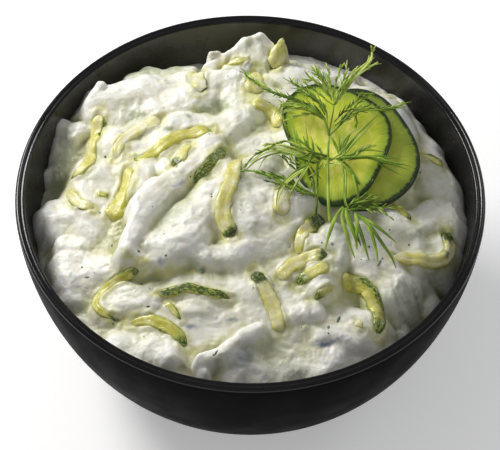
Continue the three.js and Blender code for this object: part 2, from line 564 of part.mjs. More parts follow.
function filamentSolid(points, rootRadius) {
  const curve = new THREE.CatmullRomCurve3(points, false, "centripetal");
  const steps = Math.max(1, Math.round(curve.getLength() / DILL_STEP));
  const stations = curve.getPoints(steps).map((point, i) => {
    const tangent = curve.getTangent(i / steps);
    const side = tangent.clone().cross(new THREE.Vector3(0, 0, 1)).normalize();
    const up = side.clone().cross(tangent).normalize();
    const radius = THREE.MathUtils.lerp(rootRadius, DILL_TIP, (i / steps) ** 1.5);
    const lifted = point.clone().setZ(Math.max(point.z, dillFloor(point.x, point.y)));
    return { point: lifted, side, up, a: radius, b: radius };
  });
  return toSolid(tubeGeometry(stations, FILAMENT_SIDES, FILAMENT_POINT));
}

// A leaflet that leaves a branch at a share of its length, to the left or to the right.
function leafletSolid(curve, share, turn, length) {
  const root = curve.getPointAt(share);
  root.setZ(Math.max(root.z, dillFloor(root.x, root.y)));
  const tangent = curve.getTangentAt(share);
  const heading = tangent.clone().setZ(0).normalize();
  heading.applyAxisAngle(new THREE.Vector3(0, 0, 1), turn * radians(LEAF_ANGLE));
  heading.setZ(Math.tan(radians(LEAF_RISE))).normalize();
  const end = root.clone().addScaledVector(heading, length);
  return filamentSolid([root, end], LEAF_RADIUS);
}

function dillSolid() {
  let sprig = null;
  for (const [radius, leaves, length, path] of DILL) {
    const points = path.map((point) => new THREE.Vector3(...point));
    const curve = new THREE.CatmullRomCurve3(points, false, "centripetal");
    const branch = filamentSolid(points, radius);
    sprig = sprig === null ? branch : sprig.add(branch);
    for (let i = 0; i < leaves; i += 1) {
      const along = i / Math.max(leaves - 1, 1);
      const share = THREE.MathUtils.lerp(...LEAF_SPAN, along);
      const scale = THREE.MathUtils.lerp(...LEAF_SCALE, along);
      const turn = i % 2 === 0 ? 1 : -1;
      sprig = sprig.add(leafletSolid(curve, share, turn, length * scale));
    }
  }
  return largest(sprig);
}

// ---------------------------------------------------------------- assembly

const MATERIALS = {
  stoneware: { color: 0x17161a, roughness: 0.45, metalness: 0 },
  yoghurt: { color: 0xeceadf, roughness: 0.35, metalness: 0 },
  cucumber: { color: 0xd2cf7c, roughness: 0.3, metalness: 0 },
  cucumberSlice: { color: 0xa9b144, roughness: 0.3, metalness: 0 },
  dill: { color: 0x5c8a2c, roughness: 0.5, metalness: 0 },
};

const bowlOfDip = new THREE.Group();

function place(name, geometry, material) {
  const mesh = new THREE.Mesh(geometry, new THREE.MeshStandardMaterial(MATERIALS[material]));
  mesh.name = name;
  bowlOfDip.add(mesh);
}

function dipSolid() {
  let dip = toSolid(heapGeometry()).intersect(cavitySolid());
  for (const shred of Object.values(SHREDS)) dip = dip.subtract(toSolid(shredGeometry(shred, GROOVE)));
  for (const slice of Object.values(SLICES)) dip = dip.subtract(toSolid(sliceGeometry(slice, GROOVE)));
  return largest(dip);
}

place("bowl", merged(revolved(bowlProfile())), "stoneware");
place("dip", toGeometry(dipSolid()), "yoghurt");
for (const [name, shred] of Object.entries(SHREDS)) {
  place(name, shredGeometry(shred), "cucumber");
}
for (const [name, slice] of Object.entries(SLICES)) {
  place(name, merged(sliceGeometry(slice)), "cucumberSlice");
}
place("dill", toGeometry(dillSolid()), "dill");

export default bowlOfDip;
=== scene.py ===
"""Looks of a bowl of tzatziki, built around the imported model.

Forms are worked out in millimetres and handed to Blender in metres. The origin is the middle of
the bowl's base, +Z is up, and the camera stands on the -Y side.
"""

import math

import bpy
import numpy as np
from mathutils import Matrix, Vector


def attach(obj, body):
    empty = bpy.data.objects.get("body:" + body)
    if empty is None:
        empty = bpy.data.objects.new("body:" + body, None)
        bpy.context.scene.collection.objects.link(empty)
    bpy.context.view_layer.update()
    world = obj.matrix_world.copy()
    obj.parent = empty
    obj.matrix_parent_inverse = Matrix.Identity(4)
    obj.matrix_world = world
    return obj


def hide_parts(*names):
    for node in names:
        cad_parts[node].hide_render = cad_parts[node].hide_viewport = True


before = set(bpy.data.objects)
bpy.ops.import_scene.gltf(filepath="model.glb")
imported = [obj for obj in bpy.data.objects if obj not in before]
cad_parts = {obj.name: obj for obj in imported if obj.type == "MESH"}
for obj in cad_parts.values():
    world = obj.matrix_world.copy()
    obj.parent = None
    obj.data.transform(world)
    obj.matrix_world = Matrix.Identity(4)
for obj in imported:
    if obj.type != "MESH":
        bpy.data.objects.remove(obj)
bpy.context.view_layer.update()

MM = 0.001
SEED = 7
rng = np.random.default_rng(SEED)

# Bowl, the same driving sizes as the part's
RIM_RADIUS = 74.95
BOWL_HEIGHT = 70.0
WALL_TOP = 3.2
WALL_FOOT = 4.6
FLOOR_HEIGHT = 6.0
CURVE_DEPTH = 73.3
CURVE_POWER = 1.64
CURVE_ROOT = 3.52
INNER_DEPTH = 64.0
FOOT_ROUND = 1.0
LIP_ROUND_OUT = 1.1
LIP_ROUND_IN = 0.8
LIP_STEP = 0.3  # how much lower the inner side of the lip is
LIP_DISH = 0.25
LIP_DEPTH = 1.4  # how far down the glaze is as black and glossy as on the lip
BOWL_SEGMENTS = 240

# Dip; waves are (height, length)
DIP_TOP = 69.5
DOME_POWER = 3
DIP_RADIUS = 69.0
COARSE_WARP = (2.2, 14)
FINE_WARP = (1.0, 5.5)
SWELL = (0.9, 11)
DIP_RINGS = 166
WALL_BITE = 0.8  # how far the dip reaches into the wall
RELIEF_TURN = 0.6  # direction of the broad and middle lumps, in radians
RELIEF_BEND = (1.3, 6)
LUMPY_PATCHES = (1.1, 12)
GRAINS = (0.11, 1.1)
HOLLOW_REACH = 4.5  # how far off a point's surroundings are taken
STAIN_BEND = (1.2, 5)

# Lumps of the finished dip: height, length, breadth, noise seed and roundness of the creases
BROAD_LUMPS = (1.0, 10, 7.5, 6, 0.003)
MIDDLE_LUMPS = (0.36, 4.2, 3.4, 7, 0.006)
SMALL_LUMPS = (0.32, 2.3, 2.3, 8, 0.01)

# Marks of the spoon: height, breadth, length and noise seed
SPOON_MARKS = (0.17, 1.5, 11, 16)
FINE_MARKS = (0.08, 0.75, 6, 17)
LOWEST_STROKE = 60.0  # lobes lower than this give the marks no direction
STROKE_SHIFT = 31  # along from lobe to lobe, so that their marks differ

# Radii tried for the dip's edge: first, last and step
EDGE_RADII = (52, 73.5, 0.1)

# Depth of the dip's edge under the rim, by azimuth in degrees
EDGE_DEPTH = [
    (-180, 20), (-160, 18), (-130, 14), (-90, 14), (-60, 18), (-35, 28), (-16, 32), (0, 24), (12, 20),
    (36, 16), (55, 13), (77, 13), (103, 18), (122, 14), (140, 9), (150, 11), (165, 20), (180, 20),
]

# Lobes of the dip: start x, y, z, end x, y, z, half width, drop at that width, width of the blend
LOBES = [
    # back left: a dollop with a horn, and a finger by the wall
    (-51.4, 44, 69.6, -49.8, 43.8, 69.6, 1.9, 4, 0.6),
    (-51.4, 43, 69, -53.6, 38, 66, 2.8, 5, 0.8),
    (-48.5, 40, 68, -34, 41.5, 69.5, 8, 5, 2),
    (-34, 41.5, 69.5, -21.5, 45.5, 69, 7.5, 5, 2),
    (-51.5, 36, 66, -33, 35, 68.5, 7, 4.5, 2),
    (-38, 49.5, 64, -23, 53, 65, 5, 3, 2),
    (-61, 31.5, 63, -56.5, 28, 64, 3.6, 4, 1),
    (-60, 26, 61, -62, 17.5, 58, 6.5, 4, 2),
    # the tall crest at the back: its ridge, its face, and the small crest and dollop beside it
    (3.1, 59.2, 77, -2.8, 58.2, 75.8, 1.9, 4, 0.4),
    (-2.8, 58.2, 75.8, -10.5, 55.2, 71.6, 2.2, 4, 0.5),
    (-10.5, 55.2, 71.6, -13.3, 51.6, 69.4, 3, 4, 0.6),
    (3.1, 59, 76.4, 6, 56.6, 73.2, 2, 4, 0.5),
    (1.6, 57.8, 75.6, 1, 51.5, 71, 3.6, 3.5, 1.6),
    (-1.6, 57.4, 75.2, -2.6, 51.3, 70.9, 3.6, 3.5, 1.6),
    (-4.8, 56.6, 74, -6.6, 52, 70.6, 3.6, 3.5, 1.6),
    (8.2, 59.6, 72.2, 5, 51.8, 69.4, 1.9, 5, 0.6),
    (-13.9, 55.9, 71.8, -12, 56.5, 72, 1.6, 4.5, 0.4),
    (-8.8, 48.9, 71.3, -6.8, 48, 71.6, 3.2, 3, 0.6),
    (-13.5, 45, 71.2, -7, 46.5, 71.4, 4.6, 3.5, 1.5),
    # back right, down to the wall
    (7, 48.5, 71, 21.5, 49, 69, 7, 5, 2),
    (21.5, 54, 66, 30.5, 49.5, 65, 5, 4, 2),
    (32.5, 47.5, 65, 48, 39.5, 64, 6, 5, 2),
    (48.5, 39, 63.5, 57.5, 27.5, 62, 6, 5, 2),
    (56.5, 22.5, 63.5, 61.5, 11.5, 61.5, 7.5, 6, 2),
    (60.5, 9.5, 62.5, 64, 0, 60, 8, 7, 2),
    # the middle, and the bed under the slices
    (-30.5, 35, 69.5, -17.5, 38.5, 71, 7, 4, 2),
    (-24, 27.5, 70.5, -12, 26.5, 71.5, 6, 3.5, 1.5),
    (-8, 25.5, 72.5, -1, 34, 72, 7, 4, 1.5),
    (-4.5, 42.5, 71, 15.5, 39.5, 70.5, 9, 5, 3),
    (17, 4, 72.6, 20, 27, 77.6, 8, 3.5, 3),
    (34, 2, 69, 38, 28, 74.6, 11, 3.5, 3),
    (-19, 12, 73, -12, 15.5, 73.5, 6, 4, 1),
    (-27.5, 10, 71, -25, 4, 71.5, 3, 2.5, 1),
    (-32.5, 9, 70, -34.5, -0.5, 70.5, 4.5, 2.5, 1.5),
    (-43.5, 21.5, 68, -37, 11.5, 68.5, 7, 3, 2),
    # the big fold: its rim, its valley, its second ridge and its front
    (-14.5, 12.5, 73.5, -27, -2, 76, 5.5, 5, 1.5),
    (-27, -2, 76, -33.5, -15, 76, 5.5, 6, 1),
    (-33.5, -15, 76, -37, -26, 74, 5.2, 7, 1),
    (-30.5, -20.5, 73, -7.5, 6.5, 73, 7, 4, 1.5),
    (3.5, 7, 74.5, -11, -5.5, 76, 8, 5, 1.5),
    (-11, -5.5, 76, -24, -23, 75, 9, 5, 1.5),
    (-34, -26.5, 72.5, -5.5, -25.5, 71.5, 6.5, 7, 1.5),
    (-3, -12.5, 75, 12, -2.5, 74, 12, 7, 2.5),
    (-1.5, -21.5, 72.5, 13, -11, 72.5, 9, 7, 2),
    # left
    (-62, -4.5, 62, -54, -3, 64.5, 7.5, 6, 1),
    (-60.5, -9, 60.5, -49, -11, 64, 6.5, 4, 1.5),
    (-57.5, -16.5, 61.5, -53, -17, 62.5, 4.2, 3, 0.8),
    (-53.5, -25, 62.5, -41, -25, 66, 9, 5, 1),
    (-52, -31, 60, -46.5, -29.5, 62.5, 7, 4, 1.5),
    (-49, 8, 67, -49, -4.5, 66, 9, 3.5, 2.5),
    (-41.5, -38.5, 63, -30.5, -36.5, 66, 8, 4, 1),
    (-37.5, -54, 61, -23, -54.5, 63, 8, 5, 1),
    (-29.5, -61, 57.5, -18, -62, 58, 5, 4, 1),
    # front middle
    (-21, -35.5, 67.5, -2.5, -35.5, 67.5, 6.5, 3, 2),
    (-17, -43.5, 66.5, -13.5, -42.5, 66.5, 3.4, 2, 0.8),
    (-6, -45.5, 66, -3, -44, 66.5, 3.8, 2.5, 0.8),
    (4.1, -48.3, 66.8, -2, -53, 66.6, 2.8, 3.5, 0.6),
    (-2, -53, 66.6, -5.8, -57.8, 66, 2.8, 3.5, 0.6),
    (-5.8, -57.8, 66, -12.2, -61, 65, 3, 4, 0.6),
    (-12.2, -61, 65, -11.6, -63.2, 63.2, 2.8, 4, 0.8),
    (1.6, -52, 64.6, 1.6, -60, 60.2, 5, 3.5, 1.5),
    (-4, -58, 64.8, -3.5, -63, 61.2, 5, 3.5, 1.2),
    (4, -57.5, 60, 24, -56.5, 61.5, 9, 4.5, 2),
    (13, -43.5, 66, 18.5, -42.5, 66.5, 4.6, 3, 0.8),
    (22, -46.5, 64, 35.5, -45.5, 64, 8, 4, 1.5),
    # right
    (18.5, -20, 71.5, 22, -19, 71.5, 4, 3, 0.8),
    (26, -16.5, 71, 22, -33, 69.5, 8, 6, 0.8),
    (35.5, -17.5, 69, 43.5, -29.5, 65.5, 11, 6, 1.5),
    (47, -9, 67, 60.5, -3, 62.5, 9.5, 6, 2),
    (52.5, -16.5, 65, 58.5, -14.5, 62, 8.5, 5, 1.5),
    (43.5, -30.5, 63, 47, -35, 60.5, 4.2, 3.5, 1),
    (43.5, -38, 61, 47.5, -43.5, 56, 4.4, 4, 1),
    (51.5, -26.5, 60.5, 56, -31.5, 55.5, 5.5, 4, 1),
    (37.5, -49, 60, 42, -51, 57, 4.5, 3, 1),
    (24, -58, 58.5, 35, -52.5, 58.5, 5, 3.5, 1),
    (5, -61.5, 57, 16.5, -60.5, 57.5, 4.5, 3.5, 1),
    (-12.5, -62, 57.5, -2, -62, 56, 5, 3.5, 1),
]

# Form of the shreds
SHRED_THICKNESS = 0.56  # as a share of the width
SHRED_RISE = 0.02  # height of the middle line over the dip, as a share of the thickness
SHRED_SIDES = 18
SHRED_STEP = 0.5  # distance between the rings of a shred
SHRED_SQUARENESS = 2.6  # 2 gives an ellipse, and more a boxier section
SHRED_SWELL = (0.13, 3.6)  # waves of the width: height as a share of it, and length
GROOVE_WANDER = (0.3, 7)  # waves of the groove along the top, from side to side
GROOVE_DEPTH = 0.3
GROOVE_WIDTH = 0.3
TAPER_POWER = 0.55
SKIN_FADE = 3.5  # length over which the skin gives way to flesh
SKIN_FADE_TURN = 30  # the same round the shred, in degrees
# Ripples of the surface: height, length, waves round the shred, step from shred to shred, noise seed
SHRED_RIPPLES = [(0.07, 1.3, 1.2, 3, 22), (0.045, 0.5, 2.5, 5, 23)]

# Shreds: width, points of the middle line with an optional lift, yellowness from 0 to 1, and
# where the dark skin lies as (first share, last share, direction in degrees, spread in degrees):
# 0 is the right side looking along the shred, 90 the top and 180 the left side.
SHREDS = {
    "shred_01": (4.4, [(-50, 33), (-51, 27), (-52, 15.5), (-53, 11), (-55, 8.8), (-58, 9.3)], 0.6,
                 [(0, 0.34, 172, 42), (0.93, 1, 90, 180)]),
    "shred_02": (4.1, [(-30.2, 29), (-34.7, 27), (-41, 21.5), (-43.2, 17), (-43.4, 13.2)], 0.2, []),
    "shred_03": (4.4, [(-13, 23.3), (-20, 23), (-26.5, 20), (-31.6, 15.2), (-35, 12.6), (-38.4, 13)], 0.9,
                 [(0, 0.04, 90, 100), (0.93, 1, 90, 120)]),
    "shred_04": (5.6, [(-39, 9), (-39.7, 3), (-41.4, -3), (-43.9, -9.4)], 0.85, []),
    "shred_05": (3.8, [(-58.8, 4), (-54.5, -3.5), (-49.8, -6.2)], 0.35, [(0.3, 0.9, 0, 35)]),
    "shred_06": (1.9, [(-48.8, -0.3), (-45.6, -1)], 0.85, [(0.72, 1, 90, 90)]),
    "shred_07": (3.8, [(-20, 17.5), (-22.2, 11.5), (-24.4, 7.4)], 0.6, [(0.72, 1, 90, 180)]),
    "shred_08": (3.8, [(-7.8, 16.2), (-12.6, 8.9), (-18.3, 0)], 0.85, [(0.06, 1, 90, 80)]),
    "shred_09": (5, [(-4.3, 12.2), (-6.5, -2.5), (-8.5, -10.4), (-7.8, -15.6), (-5.1, -19.8)], 0.45,
                 [(0, 0.06, 90, 180), (0, 0.4, 180, 34), (0.93, 1, 90, 180)]),
    "shred_10": (5.4, [(9.5, 60.9, 2.4), (8.7, 57.2, 1.4), (6.6, 50.8, 0.6)], 0.45, [(0, 0.05, 90, 180)]),
    "shred_11": (5.2, [(-18.2, 49, 0.6), (-17.9, 43.8), (-17.4, 39.2)], 0.15, [(0.2, 1, 180, 44)]),
    "shred_12": (2, [(-9.7, 52.3), (-6, 52.6), (-2.2, 52)], 0.6, []),
    "shred_13": (6.4, [(1, 49), (0.6, 44), (-0.4, 39.4)], 0.35, []),
    "shred_14": (4.5, [(-0.2, 34.4), (5.8, 32.8), (9.4, 26.4)], 0.6, [(0.1, 0.45, 170, 35)]),
    "shred_15": (5.6, [(10.3, -3), (9.8, -7.8), (10.1, -12)], 0.3, []),
    "shred_16": (4.4, [(23.2, -9.6), (17.7, -14.9), (15.3, -23.2)], 0.5, [(0, 0.36, 90, 180)]),
    "shred_17": (4.9, [(24, -24.8), (18.6, -25.2), (13.2, -28.4), (9.8, -32.4)], 0.5, [(0, 0.13, 90, 180)]),
    "shred_18": (4.2, [(24.6, -28.9), (21.2, -30.6), (17.6, -32.5), (15.2, -33.7)], 0.8,
                 [(0.62, 1, 60, 110)]),
    "shred_19": (5, [(1.4, -30.5), (5.2, -36.5), (8.4, -43.3), (10.1, -49.6)], 0.5,
                 [(0, 0.27, 90, 180), (0.2, 0.6, 180, 34)]),
    "shred_20": (3.1, [(-28.2, -38.2), (-22.6, -37.8), (-18.8, -36.8), (-14.8, -38), (-10, -38.9),
                       (-5.2, -40)], 0.7, [(0, 1, 100, 60)]),
    "shred_21": (2.6, [(-25.2, -41), (-22.8, -43.4), (-20.2, -47)], 0.7,
                 [(0.3, 1, 180, 60), (0.75, 1, 90, 180)]),
    "shred_22": (3.3, [(-34, -31.8), (-37, -31.5), (-41, -32), (-45, -34.4), (-47.3, -37.8),
                       (-46.4, -41.2), (-43.2, -43.8), (-39.2, -45)], 0.85,
                 [(0, 0.12, 90, 180), (0, 0.3, 0, 50), (0.86, 1, 90, 180)]),
    "shred_23": (4.5, [(-36.6, -46), (-30.4, -46), (-24.8, -48.4), (-21, -51.4), (-18.8, -55.2)], 0.95,
                 [(0.8, 1, 90, 180), (0.1, 0.9, 170, 30), (0.4, 0.9, 0, 46), (0.5, 1, 180, 50)]),
    "shred_24": (5.2, [(28.8, -31.8), (32.6, -30.8), (36.6, -32.8), (39.3, -37.5), (40.7, -43),
                       (40.2, -48.6)], 0.95, [(0.2, 1, 180, 75), (0.3, 0.9, 0, 40), (0.8, 1, 90, 180)]),
    "shred_25": (2.9, [(20.8, -39.2), (23.6, -37.4), (26.2, -35.4)], 0.7, [(0, 0.4, 90, 80)]),
    "shred_26": (4.4, [(45.2, -22), (51, -21.8), (57, -21.4), (61.8, -19), (63.8, -14.4), (62.2, -8.4)],
                 0.4, [(0.62, 0.7, 130, 60), (0.84, 1, 90, 180)]),
    "shred_27": (2.9, [(55, 21.4), (59, 19.3), (62.6, 17.6)], 0.7, [(0, 1, 150, 45)]),
    "shred_28": (3.2, [(46, -0.4), (48.4, -3.9), (51, -6.9)], 0.75, [(0.78, 1, 90, 150)]),
    "shred_29": (2.6, [(41.7, 45), (46, 43.6)], 0.2, []),
    "shred_30": (2.6, [(33.4, -45), (35.2, -47.6)], 0.4, []),
}
BLUNT_END = 1.5
TIP_SINK = 0.14  # how deep a pointed end dips into the yoghurt, as a share of the width
# Length of the taper at the start and at the end of a shred. Ends of other shreds are blunt.
TAPERS = {
    "shred_01": (2.5, 4), "shred_02": (1, 3), "shred_03": (3, 8), "shred_05": (2.5, 2.5),
    "shred_06": (0.6, 0.6), "shred_07": (3, 1), "shred_08": (4, 3), "shred_10": (4.5, 1.5),
    "shred_12": (3, 2.5), "shred_13": (3, 2), "shred_18": (1.5, 2.5), "shred_19": (2.5, 2),
    "shred_20": (3, 4), "shred_21": (0.8, 4), "shred_22": (3, 8), "shred_23": (7, 4), "shred_24": (2, 3),
    "shred_25": (2, 4), "shred_26": (3, 2), "shred_27": (5, 2),
}
# Shreds that are wider at one end: share of the width at the start and at the end
WIDENING = {
    "shred_01": (1.1, 0.95), "shred_02": (1.15, 0.8), "shred_04": (0.75, 1.25), "shred_07": (0.85, 1.2),
    "shred_09": (0.95, 1.1), "shred_10": (0.85, 1.15), "shred_13": (0.6, 1.15), "shred_16": (1.3, 0.8),
    "shred_22": (1.1, 0.75), "shred_24": (1.25, 0.75), "shred_26": (0.95, 1.1),
}

# Form of the slices
SLICE_THICKNESS = 2.5
SLICE_EDGE_ROUND = 0.55
SLICE_SIDES = 180
SLICE_RINGS = 64
SLICE_SEEDS = {"slice_front": 3, "slice_back": 4}  # of the noise on the cut face
SLICE_TILT = math.radians(13)
# Slices: middle of the upper face, mean radius, then two waves of the outline as
# (height, direction in degrees), the first with two crests and the second with three
SLICES = {
    "slice_front": ((27.2, 15.5, 77.6), 18.9, (2.5, 101), (2.0, 20)),
    "slice_back": ((36.1, 14.3, 74.1), 19.2, (2.4, 97), (1.2, -10)),
}
# Finish of each slice: name, strength of its painted glow, which stands in for the light that comes up
# through it from the white dip below, then the colours of dark flesh, light flesh, heart, seeds, the band
# under the skin, and the skin
SLICE_LOOKS = {
    # painted light and shade: the front slice has the lighter colours and stronger glow, and the back slice,
    # which lies in the front one's shade, darker colours and a weaker glow
    "slice_front": ("slice_face_front", 0.17, (208, 222, 60), (236, 240, 96), (246, 242, 128),
                    (250, 236, 132), (146, 176, 50), (40, 62, 24)),
    "slice_back": ("slice_face_back", 0.06, (172, 190, 62), (194, 204, 74), (210, 212, 92),
                   (214, 206, 92), (130, 152, 50), (38, 56, 24)),
}

# Dill
DILL_TIP = 0.2  # radius of a branch at its tip
STEM_SHARE = 0.7  # the finished stems' thickness as a share of the part's
STEM_CLEARS = (1.0, 1.0)  # how high a stem's middle stays over the slices, and over the dip
NEEDLE_CLEARS = (0.5, 0.35)  # the same for needles and strands
DILL_CEILING = 90.8
NEEDLE_RADIUS = 0.24
NEEDLE_POINTS = 6
FORK_TURNS = (12, 26, 6)  # degrees between a branch and the needles of a fork
FORK_SIZES = (1, 0.65, 0.8)
STRAND_SPACING = 1.7  # distance between the needles along a strand
STEM_STEP = 0.9  # distance between the rings of a branch
STRAND_STEP = 1.2

# Branches of the sprig: radius at the root, then the points of the branch
DILL = [
    (0.75, [(25.2, -13.7, 72.6), (24.6, -8, 75.2), (24.4, 4, 77.4), (24.6, 14.5, 80.8), (26, 24, 84.6),
            (25.7, 26, 86)]),
    (0.6, [(24.4, 7, 78), (26.9, 7.8, 77.8), (29.8, 4, 77), (30, -7, 75), (31, -10, 74.2)]),
    (0.6, [(24.4, 8.5, 78.4), (21.8, 6.7, 77.8), (20.8, 3, 77), (20.7, -2, 75.5), (20.9, -7.5, 74.4),
           (20, -11.7, 72.5)]),
    # sweeping left
    (0.6, [(24.4, 8, 78.3), (19.4, 8.3, 80), (15.7, 9.3, 81.2), (10.3, 12.4, 80), (4.3, 8, 80.5),
           (0.5, 6.5, 79.2), (-2.2, 3.8, 77)]),
    (0.5, [(19.4, 8.3, 80), (15.4, 6.5, 79.5), (11, 9, 79), (6.2, 7.2, 79.6), (1.5, 5.2, 78.6),
           (-1.3, 3, 77)]),
    (0.5, [(20.8, -5, 75.2), (15.5, -6, 78), (9.2, -3, 78.6), (2.2, 1, 78.4), (-2.5, 2.2, 77.3)]),
    (0.5, [(19.4, 8.3, 80), (18, 4.2, 79.6), (12.9, -1, 80.4), (9.2, -5, 78.8), (8, -10.7, 76.4)]),
    (0.5, [(18, 4.2, 79.6), (14.8, -3, 79.4), (12.7, -6.4, 77)]),
    # up and to the left
    (0.6, [(24.6, 14.5, 80.8), (22.9, 19, 83.4), (19.6, 21.5, 84.6), (12.7, 28, 82), (4.9, 34, 79.6),
           (1.3, 38.3, 77.5), (-2.5, 44.4, 75)]),
    (0.5, [(23.7, 17.4, 82.5), (23.4, 21.5, 85), (20.4, 24, 86.5), (17.1, 27, 86.6), (12.6, 35, 82.5)]),
    (0.5, [(22.9, 19, 83.4), (19.9, 20.7, 83.8), (16.4, 22.7, 84.3), (12.6, 24.5, 83), (9, 27, 78.5)]),
    # up and to the right
    (0.55, [(25.7, 26, 86), (24.6, 28.5, 87), (22.6, 33, 86.4), (20.4, 37, 85.4)]),
    (0.6, [(26, 24, 84.6), (27.8, 28, 86.5), (31, 35, 84.6), (35, 39.5, 84.6), (37.7, 41.5, 87),
           (38.1, 43.6, 91)]),
    (0.5, [(31, 35, 84.6), (36, 40, 83.6), (40.5, 44, 83)]),
    (0.55, [(24.6, 14.5, 80.8), (28, 17.8, 82.1), (31.4, 20.7, 83.6), (35.3, 22.2, 84.4),
            (39.8, 22.8, 84), (44.5, 24.5, 83.5), (48, 26, 83)]),
    (0.5, [(26.9, 7.8, 77.8), (31.4, 12.2, 80.8), (35.3, 17, 82), (40, 22, 82)]),
    # right
    (0.55, [(26.9, 7.8, 77.8), (32.5, 7.3, 79.2), (36.7, 7.3, 79.7), (41.7, 6.9, 79.6),
            (46.8, 7.3, 79.4)]),
    (0.5, [(32.5, 7.3, 79.2), (35.6, 9.2, 80.8), (39, 11, 80.5)]),
    (0.5, [(40, 7, 79.6), (44.3, 5.6, 79.3), (48.4, 5, 79), (52, 4.4, 78.2)]),
    (0.6, [(28.2, 6.5, 77.6), (31, 3.2, 77.6), (32.8, 1.2, 76.8), (34.6, -0.5, 75.8)]),
    (0.5, [(32.3, 1.8, 77.1), (33.3, -2.5, 76.2), (34, -6.3, 75.2)]),
    # the lower bush; in place of the part's other branches there, STRANDS_PX has a fan of flat blades
    (0.5, [(31, -10, 74.2), (35.5, -8.6, 73.4), (41, -7.6, 72.6), (47, -6.4, 71.6)]),
]
# Needles of each branch above: spacing along it and length, or zeros for none
NEEDLES = [
    (0, 0), (0, 0), (0, 0),
    (3, 3.5), (0, 0), (1.3, 3), (0, 0), (0, 0),
    (1.1, 5.5), (1.2, 5.5), (1.3, 5.5),
    (1.1, 7.5), (2.8, 5), (3, 4.5), (1.5, 5.5), (0, 0),
    (0, 0), (2.5, 3), (0, 0), (0, 0), (0, 0),
    (1.8, 4.5),
]

